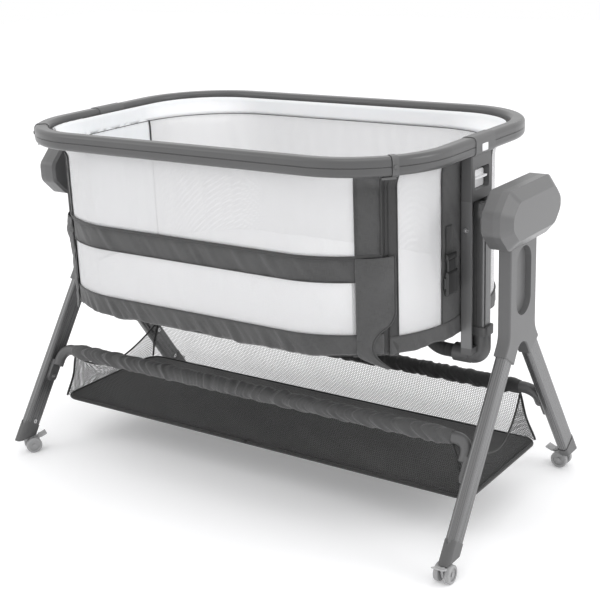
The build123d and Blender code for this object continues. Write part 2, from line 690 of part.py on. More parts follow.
with BuildPart() as slider_left:
    with BuildSketch(Plane.XY.offset(SLIDER_LOW)):
        with Locations((-(440 + 480) / 2, 0)):
            Rectangle(40, 2 * CHEEK_OUT)
        with Locations((-RAIL_X, 0)):
            Rectangle(RAIL_DEPTH + 0.6, 2 * CHEEK_IN, mode=Mode.SUBTRACT)
    extrude(amount=SLIDER_HIGH - SLIDER_LOW)
    with BuildSketch(Plane.XZ.offset(-34.5)):
        with Locations((-PIVOT_X, SLIDER_MID)):
            Circle(PIN_DIA / 2)
    extrude(amount=69)
write("slider_left", slider_left)

# ---------------------------------------------------------------- basket
with BuildPart() as basket_board:
    with BuildSketch(Plane.XY.offset(BASKET_BOARD_Z)):
        RectangleRounded(2 * BASKET_BOARD_X, 2 * BASKET_BOARD_Y, 12)
    extrude(amount=BASKET_BOARD)
write("basket_board", basket_board)

BOARD_TOP = BASKET_BOARD_Z + BASKET_BOARD
SLEEVE_BOTTOM = BAR_Z - BASKET_SLEEVE_DIA / 2
for side_name, side in SIDES.items():
    with BuildPart() as basket_sleeve:
        with BuildSketch(Plane.YZ.offset(-SLEEVE_HALF)):
            with Locations((side * leg_y(BAR_Z), BAR_Z)):
                Circle(BASKET_SLEEVE_DIA / 2)
                Circle(BAR_DIA / 2, mode=Mode.SUBTRACT)
        extrude(amount=2 * SLEEVE_HALF)
    write(f"basket_sleeve_{side_name}", basket_sleeve)

    with BuildPart() as basket_wall:
        with BuildSketch(Plane.YZ.offset(-SLEEVE_HALF)):
            with BuildLine():
                top_y = side * leg_y(BAR_Z)
                low_y = side * (BASKET_BOARD_Y - 3)
                Polyline(
                    (top_y - MESH / 2, SLEEVE_BOTTOM),
                    (top_y + MESH / 2, SLEEVE_BOTTOM),
                    (low_y + MESH / 2, BOARD_TOP),
                    (low_y - MESH / 2, BOARD_TOP),
                    close=True,
                )
            make_face()
        extrude(amount=2 * SLEEVE_HALF)
    write(f"basket_wall_{side_name}", basket_wall)

with BuildPart() as basket_end:
    with BuildSketch(Plane.XZ.offset(-(leg_y(BAR_Z) - 16))):
        with BuildLine():
            Polyline(
                (SLEEVE_HALF, BAR_Z - 8),
                (SLEEVE_HALF + MESH, BAR_Z - 8),
                (BASKET_BOARD_X - 3, BOARD_TOP),
                (BASKET_BOARD_X - 3 - MESH, BOARD_TOP),
                close=True,
            )
        make_face()
    extrude(amount=2 * (leg_y(BAR_Z) - 16))
write_ends("basket_end", basket_end)

# ---------------------------------------------------------------- casters
# Heading is the direction from the swivel stem to the wheels, in degrees from +X.
CASTERS = {
    "front_right": (1, -1, 270),
    "front_left": (-1, -1, 58),
    "rear_right": (1, 1, 180),
    "rear_left": (-1, 1, 120),
}
AXLE_Z = WHEEL_DIA / 2
LEVER_X = TRAIL + LEVER_RUN
LEVER_Z = AXLE_Z + LEVER_RISE


def caster_plane(end, side, heading, across_offset=0.0):
    """Upright plane through a caster: local x along its heading, local y up."""
    run = Vector(math.cos(math.radians(heading)), math.sin(math.radians(heading)), 0)
    axle = run.cross(Vector(0, 0, 1))
    origin = Vector(end * POST_X, side * FOOT_Y, 0) + axle * across_offset
    return Plane(origin=origin, x_dir=run, z_dir=axle)


def caster_body(place):
    """Web between the wheels, swivel boss and stem."""
    with BuildPart() as body:
        with BuildSketch(caster_plane(*place, -2)):
            with Locations((TRAIL, AXLE_Z)):
                Circle(10)
            with BuildLine():
                Polyline(
                    (-5, 33.4), (-5, 27), (TRAIL - 8, AXLE_Z - 5), (TRAIL + 9, AXLE_Z),
                    (LEVER_X + 2.5, LEVER_Z - 1), (LEVER_X + 1, LEVER_Z + 2.7), (TRAIL + 3, 33),
                    close=True,
                )
            make_face()
        extrude(amount=4)
        with BuildSketch(caster_plane(*place, -5)):
            with Locations((TRAIL, AXLE_Z)):
                Circle(7)
        extrude(amount=10)
        with BuildSketch(Plane.XY.offset(26.5)):
            with Locations((place[0] * POST_X, place[1] * FOOT_Y)):
                Circle(5.7)
        extrude(amount=7.2)
        with BuildSketch(Plane.XY.offset(33)):
            with Locations((place[0] * POST_X, place[1] * FOOT_Y)):
                Circle(STEM_DIA / 2)
        extrude(amount=STEM_TOP - 33)
        with BuildSketch(caster_plane(*place, -6)):
            with Locations((TRAIL, AXLE_Z)):
                Circle(2.55)
            with Locations((LEVER_X, LEVER_Z)):
                Circle(1.55)
        extrude(amount=12, mode=Mode.SUBTRACT)
    return body


def caster_wheels(place):
    """Twin wheels with their axle, hub recess and rounded treads."""
    with BuildPart() as wheels:
        with BuildSketch(caster_plane(*place, -WHEEL_IN - WHEEL_THICK + 2)):
            with Locations((TRAIL, AXLE_Z)):
                Circle(2.5)
        extrude(amount=2 * (WHEEL_IN + WHEEL_THICK) - 4)
        for offset in (WHEEL_IN, -WHEEL_IN - WHEEL_THICK):
            with BuildSketch(caster_plane(*place, offset)):
                with Locations((TRAIL, AXLE_Z)):
                    Circle(WHEEL_DIA / 2)
            extrude(amount=WHEEL_THICK)
        treads = wheels.edges().filter_by(GeomType.CIRCLE)
        fillet(treads.filter_by(lambda edge: abs(edge.radius - WHEEL_DIA / 2) < 0.01), 2)
        for offset, depth in ((WHEEL_IN + WHEEL_THICK, -2), (-WHEEL_IN - WHEEL_THICK, 2)):
            with BuildSketch(caster_plane(*place, offset)):
                with Locations((TRAIL, AXLE_Z)):
                    Circle(11)
                    Circle(4, mode=Mode.SUBTRACT)
            extrude(amount=depth, mode=Mode.SUBTRACT)
    return wheels


def caster_brake(place):
    """Brake pedal: two cheeks on a pin above the axle, and a foot plate."""
    with BuildPart() as brake:
        for low, high in ((-5, -2.3), (2.3, 5)):
            with BuildSketch(caster_plane(*place, low)):
                with BuildLine():
                    Polyline(
                        (LEVER_X - 2.8, LEVER_Z - 1.5),
                        (LEVER_X + 2.5, LEVER_Z - 2),
                        (LEVER_X + 5, LEVER_Z + 1.7),
                        (LEVER_X + 5, LEVER_Z + 3.5),
                        (LEVER_X - 2, LEVER_Z + 3.5),
                        close=True,
                    )
                make_face()
            extrude(amount=high - low)
        with BuildSketch(caster_plane(*place, -5)):
            with Locations((LEVER_X, LEVER_Z)):
                Circle(1.5)
        extrude(amount=10)
        with BuildSketch(caster_plane(*place, -11)):
            with BuildLine():
                Polyline(
                    (LEVER_X + 1.5, LEVER_Z + 1.7), (LEVER_X + 5.5, LEVER_Z + 1.7), (LEVER_X + 17, LEVER_Z + 6.5),
                    (LEVER_X + 17, LEVER_Z + 9), (LEVER_X + 5, LEVER_Z + 3.8), (LEVER_X + 1.5, LEVER_Z + 3.8),
                    close=True,
                )
            make_face()
        extrude(amount=22)
    return brake


for caster_name, place in CASTERS.items():
    write(f"caster_{caster_name}", caster_body(place))
    write(f"wheels_{caster_name}", caster_wheels(place))
    write(f"brake_{caster_name}", caster_brake(place))
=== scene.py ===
import math

import bpy
import numpy as np
from mathutils import Matrix, Vector


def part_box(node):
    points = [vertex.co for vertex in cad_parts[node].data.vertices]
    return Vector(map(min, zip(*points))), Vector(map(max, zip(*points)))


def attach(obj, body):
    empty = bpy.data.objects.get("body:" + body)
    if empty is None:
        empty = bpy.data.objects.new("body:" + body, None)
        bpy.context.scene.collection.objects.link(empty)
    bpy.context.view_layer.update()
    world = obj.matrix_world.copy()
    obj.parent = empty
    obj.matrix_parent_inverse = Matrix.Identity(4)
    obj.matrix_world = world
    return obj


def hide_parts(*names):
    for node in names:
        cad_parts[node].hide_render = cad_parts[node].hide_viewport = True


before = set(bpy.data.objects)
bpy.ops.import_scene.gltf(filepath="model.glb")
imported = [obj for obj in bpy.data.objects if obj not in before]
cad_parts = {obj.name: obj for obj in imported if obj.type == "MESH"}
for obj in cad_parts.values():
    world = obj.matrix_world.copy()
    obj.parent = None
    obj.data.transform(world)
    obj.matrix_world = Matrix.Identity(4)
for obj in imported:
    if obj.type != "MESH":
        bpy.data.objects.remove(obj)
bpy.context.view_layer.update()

# ---------------------------------------------------------------- cast yokes
# The A-shaped top of each end of the stand. Moulded in filled nylon, so it has an even
# charcoal colour with a fine spark-eroded grain that scatters the light.


class Value:
    """A number that varies over a surface; arithmetic on it adds Math nodes."""

    def __init__(self, finish, socket):
        self.finish = finish
        self.socket = socket

    def maths(self, operation, *others, first=None):
        """The Math node of that operation, on this value and the others."""
        parts = [self, *others] if first is None else [first, self, *others]
        sockets = dict(enumerate(parts))
        return self.finish.node("ShaderNodeMath", "Value", {"operation": operation}, sockets)

    def __add__(self, other):
        return self.maths("ADD", other)

    __radd__ = __add__

    def __sub__(self, other):
        return self.maths("SUBTRACT", other)

    def __rsub__(self, other):
        return self.maths("SUBTRACT", first=other)

    def __mul__(self, other):
        return self.maths("MULTIPLY", other)

    __rmul__ = __mul__

    def __truediv__(self, other):
        return self.maths("DIVIDE", other)

    def sine(self):
        return self.maths("SINE")

    def fract(self):
        return self.maths("FRACT")

    def least(self, other):
        return self.maths("MINIMUM", other)

    def above(self, edge, soft):
        """0 below the edge, 1 above it, with a ramp of that softness."""
        sockets = {"Value": self, "From Min": edge - soft / 2, "From Max": edge + soft / 2}
        return self.finish.node("ShaderNodeMapRange", "Result", {"clamp": True}, sockets)


class Finish:
    """A procedural material: one Principled shader with its constants set on it."""

    def __init__(self, name, roughness=0.5, metallic=0.0, **constants):
        self.material = bpy.data.materials.new(name)
        self.material.use_nodes = True
        self.tree = self.material.node_tree
        self.shader = self.tree.nodes["Principled BSDF"]
        self.shader.inputs["Roughness"].default_value = roughness
        self.shader.inputs["Metallic"].default_value = metallic
        for socket, value in constants.items():
            self.shader.inputs[socket.replace("_", " ")].default_value = value

    def plug(self, socket, value):
        """Link a value to a socket, or set the socket to a number, colour or vector."""
        if isinstance(value, Value):
            self.tree.links.new(value.socket, socket)
        else:
            socket.default_value = value

    def node(self, kind, output, settings, sockets):
        """A node of that kind with its settings, then its sockets; gives one output."""
        made = self.tree.nodes.new(kind)
        for key, value in settings.items():
            setattr(made, key, value)
        for key, value in sockets.items():
            self.plug(made.inputs[key], value)
        return Value(self, made.outputs[output])

    def feed(self, **sockets):
        """Plug varying values into the shader."""
        for key, value in sockets.items():
            self.plug(self.shader.inputs[key.replace("_", " ")], value)
        return self

    def place(self, own_uv=False):
        """Object coordinates, or the piece's own UV map, both in metres."""
        return self.node("ShaderNodeTexCoord", "UV" if own_uv else "Object", {}, {})

    def axis(self, vector, letter):
        return self.node("ShaderNodeSeparateXYZ", letter, {}, {"Vector": vector})

    def noise(self, vector, grain, stretch=(1, 1, 1)):
        """Cloudy noise whose blobs are about `grain` metres, stretched along the axes."""
        scale = tuple(1 / (grain * s) for s in stretch)
        moved = self.node("ShaderNodeMapping", "Vector", {}, {"Vector": vector, "Scale": scale})
        return self.node("ShaderNodeTexNoise", "Fac", {}, {"Vector": moved, "Scale": 1.0, "Detail": 3})

    def mix(self, share, low, high):
        """Colour between two greys or colours."""
        settings = {"data_type": "RGBA"}
        return self.node("ShaderNodeMix", 2, settings, {0: share, 6: shade(low), 7: shade(high)})

    def bump(self, height, depth):
        """Raise the surface by `height` times `depth` metres."""
        settings = {"Height": height, "Distance": depth, "Strength": 1.0}
        self.feed(Normal=self.node("ShaderNodeBump", "Normal", {}, settings))
        return self


def shade(grey):
    """Linear colour of a display grey from 0 to 1, or a colour already given."""
    if not isinstance(grey, (int, float)):
        return grey
    linear = grey / 12.92 if grey <= 0.04045 else ((grey + 0.055) / 1.055) ** 2.4
    return (linear, linear, linear * 1.01, 1)


def moulded(name, grey, roughness=0.42, grain=0.0006, depth=0.00006):
    """Moulded plastic: slight cloudy colour, spark-eroded grain in the bump."""
    finish = Finish(name, roughness)
    spot = finish.place()
    cloud = finish.noise(spot, 0.05)
    fine = finish.noise(spot, grain)
    finish.feed(Base_Color=finish.mix(cloud, grey - 0.012, grey + 0.014))
    finish.feed(Roughness=cloud * 0.12 + fine * 0.06 + (roughness - 0.09))
    return finish.bump(fine, depth).material


def dress(material, *nodes):
    """Give CAD nodes a material."""
    for name in nodes:
        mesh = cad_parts[name].data
        mesh.materials.clear()
        mesh.materials.append(material)


yoke_plastic = moulded("yoke_nylon", 0.375, 0.36)
dress(yoke_plastic, "yoke_left", "yoke_right")

# ---------------------------------------------------------------- leg tubes
# Flat-oval aluminium extrusions, charcoal anodised, leaning out from the yokes. Drawing
# leaves faint streaks along the tube, which follow the lean of each leg.
LEG_LEAN = math.atan(0.69)


def anodised(name, grey, lean=0.0, roughness=0.3):
    """Anodised extrusion: metal with streaks along a line leaning by that angle in YZ."""
    finish = Finish(name, roughness, 0.55)
    spot = finish.place()
    upright = finish.node("ShaderNodeMapping", "Vector", {}, {"Vector": spot, "Rotation": (lean, 0, 0)})
    streak = finish.noise(upright, 0.0016, (1, 1, 300))
    dust = finish.noise(spot, 0.0005)
    finish.feed(Base_Color=finish.mix(streak, grey - 0.015, grey + 0.015))
    finish.feed(Roughness=streak * 0.16 + (roughness - 0.06))
    return finish.bump(streak * 0.6 + dust * 0.4, 0.00002).material


for leg_side, lean in (("front", LEG_LEAN), ("rear", -LEG_LEAN)):
    leg_metal = anodised(f"leg_anodised_{leg_side}", 0.43, lean, 0.26)
    dress(leg_metal, f"leg_{leg_side}_left", f"leg_{leg_side}_right")

# ---------------------------------------------------------------- foot caps and screws
# Nylon shoes closing the leg tubes, and zinc-plated button-head screws through the tabs.
dress(moulded("cap_nylon", 0.33, 0.4), "foot_caps")

screw_zinc = Finish("screw_zinc", 0.25, 0.9)
screw_spot = screw_zinc.place()
screw_turning = screw_zinc.noise(screw_spot, 0.0004)
screw_zinc.feed(Base_Color=screw_zinc.mix(screw_turning, 0.72, 0.86), Roughness=screw_turning * 0.2 + 0.15)
dress(screw_zinc.material, "frame_screws", "column_screws")

# ---------------------------------------------------------------- crossbars
# Two steel tubes from leg to leg, flattened into tabs at their ends and powder coated,
# which gives a faint orange-peel surface.
bar_coat = Finish("bar_powder_coat", 0.38)
bar_peel = bar_coat.noise(bar_coat.place(), 0.0022)
bar_coat.feed(Base_Color=bar_coat.mix(bar_peel, 0.33, 0.37), Roughness=bar_peel * 0.15 + 0.3)
dress(bar_coat.bump(bar_peel, 0.00012).material, "crossbar_front", "crossbar_rear")

# ---------------------------------------------------------------- casters
# Light grey twin wheels on swivel stems with brake pedals; the treads are a little
# softer and darker than the moulded arms.
dress(
    moulded("caster_nylon", 0.66, 0.4),
    *[f"{part}_{place}" for part in ("caster", "brake") for place in
      ("front_left", "front_right", "rear_left", "rear_right")],
)
for wheel_place in ("front_left", "front_right", "rear_left", "rear_right"):
    tread = moulded(f"wheel_tread_{wheel_place}", 0.6, 0.5, 0.0009, 0.0001)
    dress(tread, f"wheels_{wheel_place}")

# ---------------------------------------------------------------- head boxes and slider
# Two moulded shells on each post hide the height lock; the left one carries the pinned
# slider, the right one two guide cheeks.
dress(moulded("head_abs", 0.39, 0.32), "head_outer_left", "head_outer_right")
dress(moulded("head_abs_inner", 0.37, 0.36), "head_inner_left", "head_inner_right")
dress(moulded("slider_acetal", 0.26, 0.3), "slider_left")

# ---------------------------------------------------------------- basket board
# The floor of the storage basket: a stiff board in black oxford cloth with a bound edge.
# The cloth is slack over the board, so it lies in long shallow ripples.


def rounded_rectangle(half_x, half_y, corner, count):
    """Points round a rounded rectangle, anticlockwise from the middle of the near side,
    at even steps of arc length."""
    straight_x, straight_y, arc = half_x - corner, half_y - corner, corner * math.pi / 2
    steps = [straight_x, arc, 2 * straight_y, arc, 2 * straight_x, arc, 2 * straight_y, arc, straight_x]
    ends = np.cumsum([0, *steps])
    s = np.arange(count) / count * ends[-1]
    piece = np.clip(np.searchsorted(ends, s, side="right") - 1, 0, 8)
    along = s - ends[piece]
    turn = np.where(piece % 2 == 1, along / corner, 0) + (piece // 2) * math.pi / 2
    centre_x = np.array([0, 1, 1, 1, 1, -1, -1, -1, -1])[piece] * straight_x
    centre_y = np.array([-1, -1, -1, 1, 1, 1, 1, -1, -1])[piece] * straight_y
    run = np.where(piece % 2 == 0, along, 0)
    x = centre_x + corner * np.sin(turn) + run * np.cos(turn)
    y = centre_y - corner * np.cos(turn) + run * np.sin(turn)
    return np.stack([x, y], -1)


def ripples(a, b, seed, waves, slope=0.0):
    """Sum of sine waves in a + slope*b and b, with seeded phases, bent crests and a
    height that comes and goes along each crest."""
    dice = np.random.default_rng(seed)
    total = np.zeros(np.broadcast(a, b).shape)
    for length, height in waves:
        phase = dice.uniform(0, 6.28, 3)
        bend = 0.9 * np.sin(b / length * 1.7 + phase[0]) + 1.3 * np.sin(a / length * 0.31 + phase[1])
        drift = np.sin(b / length * 1.1 + phase[0] + a / length * 0.37)
        patch = 0.6 + 0.5 * np.sin(a / length * 0.83 + phase[2]) * drift
        total = total + height * patch * np.sin(2 * math.pi * (a + slope * b) / length + phase[2] + bend)
    return total


def make(name, shapes, material, body, smooth=True):
    """One mesh object from (vertices, faces, face-corner UVs) shapes, riding on a body."""
    verts, faces, uvs, base = [], [], [], 0
    for points, polygons, corners in shapes:
        verts.append(points)
        faces += [tuple(i + base for i in face) for face in polygons]
        uvs.append(corners)
        base += len(points)
    mesh = bpy.data.meshes.new(name)
    mesh.from_pydata(np.concatenate(verts).tolist(), [], faces)
    layer = mesh.uv_layers.new(name="cut")
    layer.data.foreach_set("uv", np.concatenate(uvs).astype(np.float32).ravel())
    mesh.polygons.foreach_set("use_smooth", np.full(len(mesh.polygons), smooth))
    mesh.materials.append(material)
    piece = bpy.data.objects.new(name, mesh)
    bpy.context.scene.collection.objects.link(piece)
    if body:
        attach(piece, body)
    return piece


def quads(rows, columns, wrap=False):
    """Quads over a grid of rows by columns, numbered row by row; wrap closes the rows."""
    i = np.arange(rows if wrap else rows - 1)[:, None]
    j = np.arange(columns - 1)[None, :]
    k = (i + 1) % rows
    corner = [i * columns + j, k * columns + j, k * columns + j + 1, i * columns + j + 1]
    return np.stack([np.broadcast_to(c, (i.size, j.size)) for c in corner], -1).reshape(-1, 4)


def lengths(points):
    """Arc length along the first two axes of a grid of points."""
    along = np.linalg.norm(np.diff(points, axis=0), axis=-1)
    up = np.linalg.norm(np.diff(points, axis=1), axis=-1)
    u = np.concatenate([np.zeros((1, points.shape[1])), np.cumsum(along, 0)])
    v = np.concatenate([np.zeros((points.shape[0], 1)), np.cumsum(up, 1)], 1)
    return u, v


def cloth(points, thick, hem=0.003):
    """A closed sheet round a grid of points: both faces stand half the thickness off the
    grid along its normals, and the thickness rounds off to the edges within the hem."""
    du = np.gradient(points, axis=0)
    dv = np.gradient(points, axis=1)
    normal = np.cross(du, dv)
    normal /= np.linalg.norm(normal, axis=-1, keepdims=True) + 1e-12
    u, v = lengths(points)
    edge = np.minimum(np.minimum(u, u[-1:] - u), np.minimum(v, v[:, -1:] - v))
    swell = np.sqrt(np.clip(1 - (1 - np.clip(edge / hem, 0, 1)) ** 2, 0.04, 1))[..., None]
    rows, columns = points.shape[:2]
    front = (points + normal * thick / 2 * swell).reshape(-1, 3)
    back = (points - normal * thick / 2 * swell).reshape(-1, 3)
    face = quads(rows, columns)
    count = rows * columns
    grid = np.arange(count).reshape(rows, columns)
    border = np.concatenate([grid[:, 0], grid[-1, 1:], grid[-2::-1, -1], grid[0, -2:0:-1]])
    after = np.roll(border, -1)
    rim = np.stack([border, border + count, after + count, after], -1)
    every = np.concatenate([face, face[:, ::-1] + count, rim])
    uv = np.stack([u, v], -1).reshape(-1, 2)
    both = np.concatenate([uv, uv])
    return np.concatenate([front, back]), every.tolist(), both[every.ravel()]


def tube(path, radius, sides=10, up=(0, 0, 1)):
    """A closed tube along a path: rings of one radius square to the path, and a flat
    cap at each end."""
    step = np.gradient(path, axis=0)
    step /= np.linalg.norm(step, axis=-1, keepdims=True)
    side = np.cross(step, np.array(up, float))
    side /= np.linalg.norm(side, axis=-1, keepdims=True) + 1e-12
    top = np.cross(side, step)
    stations = len(path)
    radius = np.broadcast_to(radius, (stations, sides))
    turn = np.arange(sides) / sides * 2 * math.pi
    ring = np.cos(turn)[None, :, None] * side[:, None] + np.sin(turn)[None, :, None] * top[:, None]
    points = (path[:, None] + ring * radius[..., None]).transpose(1, 0, 2)
    face = quads(sides, stations, wrap=True)
    u = np.arange(sides + 1) / sides * 2 * math.pi * float(radius.mean())
    v = np.concatenate([[0], np.cumsum(np.linalg.norm(np.diff(path, axis=0), axis=-1))])
    i = np.repeat(np.arange(sides), stations - 1)
    j = np.tile(np.arange(stations - 1), sides)
    corner = np.stack([np.stack([u[i + a], v[j + b]], -1) for a, b in ((0, 0), (1, 0), (1, 1), (0, 1))], 1)
    first = (np.arange(sides) * stations)[::-1]
    last = np.arange(sides) * stations + stations - 1
    caps = np.zeros((2 * sides, 2))
    faces = face[:, ::-1].tolist() + [first[::-1].tolist(), last[::-1].tolist()]
    return points.reshape(-1, 3), faces, np.concatenate([corner[:, ::-1].reshape(-1, 2), caps])


def pad(ring, scales, heights, drop=None):
    """A closed pad: an outline carried up a profile of (scale, height) pairs, with a
    small flat cap at each end; drop adds a height to every point."""
    points = np.concatenate([ring[:, None] * scales[None, :, None],
                             np.broadcast_to(heights[None, :, None], (len(ring), len(scales), 1))], -1)
    if drop is not None:
        points[..., 2] += drop(points[..., 0], points[..., 1], points[..., 2])
    face = quads(len(ring), len(scales), wrap=True)
    flat = points.reshape(-1, 3)
    first = (np.arange(len(ring)) * len(scales)).tolist()
    last = (np.arange(len(ring)) * len(scales) + len(scales) - 1).tolist()
    faces = face.tolist() + [first[::-1], last]
    uv = flat[:, :2]
    corners = np.concatenate([uv[face.ravel()], uv[first[::-1]], uv[last]])
    return flat, faces, corners


def woven(name, dark, light, pitch=0.0011, slub=0.5, roughness=0.85):
    """Plain-weave cloth: over-and-under threads in the bump, slubs in the colour."""
    finish = Finish(name, roughness, Sheen_Weight=0.25, Sheen_Roughness=0.5)
    spot = finish.place(own_uv=True)
    u = finish.axis(spot, "X")
    v = finish.axis(spot, "Y")
    weave = (u * (2 * math.pi / pitch)).sine() * (v * (2 * math.pi / pitch)).sine()
    warp = finish.noise(spot, pitch * 0.8, (1, 14, 1))
    weft = finish.noise(spot, pitch * 0.8, (14, 1, 1))
    cloud = finish.noise(spot, 0.06)
    thread = (warp + weft) * slub + cloud * (1 - slub)
    finish.feed(Base_Color=finish.mix(thread.above(0.52, 0.5), dark, light))
    return finish.bump(weave * 0.5 + warp * 0.5 + weft * 0.5, pitch * 0.16).material


oxford = woven("black_oxford", 0.165, 0.225)
binding = woven("black_binding", 0.1, 0.17, 0.0008)
board_low, board_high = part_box("basket_board")
BOARD_TOP = board_high.z
BOARD_EDGE = 0.0035
board_ring = rounded_rectangle(board_high.x - 0.002, board_high.y - 0.002, 0.028, 420)
board_inward = np.linspace(0.05, 0.94, 16)
board_scale = np.concatenate([board_inward, [0.985, 0.997, 1, 0.997, 0.985], board_inward[::-1]])
board_rise = np.concatenate([np.full(16, 0.0), [0.0, 0.001, 0.0025, 0.004, 0.005], np.full(16, 0.005)])


def board_ripple(x, y, z):
    """Long shallow ripples, dying out at the bound edge, on the upper face only."""
    inside = np.clip((board_high.x - abs(x)) / 0.08, 0, 1) * np.clip((board_high.y - abs(y)) / 0.05, 0, 1)
    wave = ripples(x, y, 5, [(0.31, 0.0016), (0.17, 0.0011), (0.095, 0.0004)], 1.4)
    return inside * (wave + 0.0018) * np.clip((z - board_low.z) / 0.004, 0, 1)


board_shape = pad(board_ring, board_scale, board_low.z - 0.0005 + board_rise, board_ripple)
basket_floor = make("basket_floor", [board_shape], oxford, "stand")
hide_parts("basket_board")
edge_path = np.concatenate([board_ring, board_ring[:2]])
edge_path = np.concatenate([edge_path, np.full((len(edge_path), 1), BOARD_TOP - 0.001)], -1)
make("basket_floor_binding", [tube(edge_path, BOARD_EDGE)], binding, "stand")

# ---------------------------------------------------------------- basket sleeves
# Cloth tunnels on the two crossbars. They are cut longer than the bar and pushed up on
# it, so they lie in tight slanting gathers.
SLEEVE_THICK = 0.0009
SLEEVE_PUFF = 0.0028
BAR_SKIN = 0.0112
SLEEVE_LIMIT = 0.0175
# Both tunnels are one cloth: the front copy is painted lighter for the light falling on it, the rear copy
# darker for painted shade under the deck.
front_sleeve_lit_copy = woven("front_sleeve_painted_light", 0.2, 0.31)
rear_sleeve_painted_shade = woven("rear_sleeve_painted_shade", 0.1, 0.18)
for side_name, side, sleeve_cloth in (("front", -1, front_sleeve_lit_copy), ("rear", 1, rear_sleeve_painted_shade)):
    low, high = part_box(f"basket_sleeve_{side_name}")
    centre = (low + high) / 2
    stations = np.linspace(low.x, high.x, 560)
    turn = np.linspace(-0.5, 1.5, 45) * math.pi
    x, a = np.meshgrid(stations, turn, indexing="ij")
    taper = np.clip((high.x - abs(x)) / 0.03, 0, 1) ** 0.5
    spiral = x + 0.011 * np.sin(a + side) + 0.006 * np.sin(2 * a + x * 9)
    gathers = [(0.029, 0.0012), (0.0187, 0.0009), (0.047, 0.0013)]
    fold = ripples(spiral, 0.01 * np.sin(a), 11 + side, gathers)
    fold += ripples(spiral, 0.02 * np.cos(a), 17 + side, [(0.0093, 0.00045)])
    slack = 0.0016 * np.clip(np.sin(a), -1, 0) ** 2
    skin = np.clip(BAR_SKIN + taper * (SLEEVE_PUFF + slack + fold), BAR_SKIN + 0.0004, SLEEVE_LIMIT)
    tunnel_grid = np.stack([x, centre.y + skin * np.cos(a), centre.z + skin * np.sin(a)], -1)
    tunnel = cloth(tunnel_grid, SLEEVE_THICK)
    sleeve = make(f"basket_tunnel_{side_name}", [tunnel], sleeve_cloth, "stand")
    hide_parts(f"basket_sleeve_{side_name}")

# ---------------------------------------------------------------- basket mesh
# Open black hexagonal net from the tunnels down to the bound floor, a panel on each side
# and one at each end, where its bound top edge sags between the bars.
NET_PITCH = 0.0040
NET_HOLE = 0.00172


def netting(name, grey, pitch, hole, soft, roughness=0.6):
    """Knitted net: holes on a triangular lattice of that pitch, cut out by the alpha."""
    finish = Finish(name, roughness)
    spot = finish.place(own_uv=True)
    u = finish.axis(spot, "X")
    v = finish.axis(spot, "Y")
    row = pitch * math.sqrt(3)

    def away(du, dv):
        """Squared distance to the nearest hole centre of one of the two lattices."""
        a = ((u / pitch + du).fract() - 0.5) * pitch
        b = ((v / row + dv).fract() - 0.5) * row
        return a * a + b * b

    nearest = away(0, 0).least(away(0.5, 0.5))
    strand = nearest.above(hole * hole, soft * hole * hole)
    knit = finish.noise(spot, pitch * 0.4)
    finish.feed(Base_Color=finish.mix(knit, grey - 0.04, grey + 0.04), Alpha=strand)
    return finish.bump(strand, 0.0002).material


basket_net = netting("black_net", 0.16, NET_PITCH, NET_HOLE, 0.25)


def measured(points):
    """Flat size and area of a sheet piece from its grid; they are worked out but not kept."""
    u, v = lengths(points)
    flat = (float(u[-1].max()), float(v[:, -1].max()))
    du = np.diff(points, axis=0)[:, :-1]
    dv = np.diff(points, axis=1)[:-1]
    area = float(np.linalg.norm(np.cross(du, dv), axis=-1).sum())
    area = max(min(area, flat[0] * flat[1]), 0.31 * flat[0] * flat[1])


def sew(name, points, thick, fabric, body):
    piece = make(name, [cloth(points, thick)], fabric, body)
    measured(points)
    return piece


NET_INSET = 0.004
bar_y = (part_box("basket_sleeve_rear")[0].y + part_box("basket_sleeve_rear")[1].y) / 2
bar_z = (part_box("basket_sleeve_rear")[0].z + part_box("basket_sleeve_rear")[1].z) / 2
end_top_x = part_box("basket_end_right")[0].x
for side_name, side in (("front", -1), ("rear", 1)):
    x, t = np.meshgrid(np.linspace(-1, 1, 160), np.linspace(0, 1, 26), indexing="ij")
    reach = end_top_x + (board_high.x - NET_INSET - end_top_x) * t
    top, foot = bar_z - 0.013, BOARD_TOP + 0.001
    z = top + (foot - top) * t
    belly = ripples(x * reach, z, 31 + side, [(0.19, 0.0014), (0.08, 0.0008)])
    belly = -0.006 * np.sin(math.pi * t) + belly
    y = bar_y + (board_high.y - NET_INSET - bar_y) * t + belly * np.sin(math.pi * t)
    net_grid = np.stack([x * reach, side * y, z], -1)
    net = sew(f"basket_net_{side_name}", net_grid, 0.0006, basket_net, "stand")
    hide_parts(f"basket_wall_{side_name}")
    hems = []
    for end in (-1, 1):
        column = net_grid[0 if end < 0 else -1]
        hems.append(tube(column, 0.0022, 8, up=(1, 0, 0)))
    make(f"basket_net_hems_{side_name}", hems, binding, "stand")

SAG_LOW = 0.128
for end_name, end in (("left", -1), ("right", 1)):
    w, t = np.meshgrid(np.linspace(-1, 1, 90), np.linspace(0, 1, 26), indexing="ij")
    rim_z = SAG_LOW + (bar_z - 0.012 - SAG_LOW) * abs(w) ** 1.7
    z = rim_z + (BOARD_TOP + 0.001 - rim_z) * t
    lift = (z - BOARD_TOP) / (bar_z - BOARD_TOP)
    y = w * (board_high.y - NET_INSET + (bar_y - board_high.y + NET_INSET) * lift)
    x = end * (board_high.x - NET_INSET + (end_top_x - board_high.x) * lift - 0.003 * np.sin(math.pi * t))
    net_grid = np.stack([x, y, z], -1)
    net = sew(f"basket_net_end_{end_name}", net_grid, 0.0006, basket_net, "stand")
    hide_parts(f"basket_end_{end_name}")
    make(f"basket_net_top_{end_name}", [tube(net_grid[:, 0], 0.002, 8)], binding, "stand")

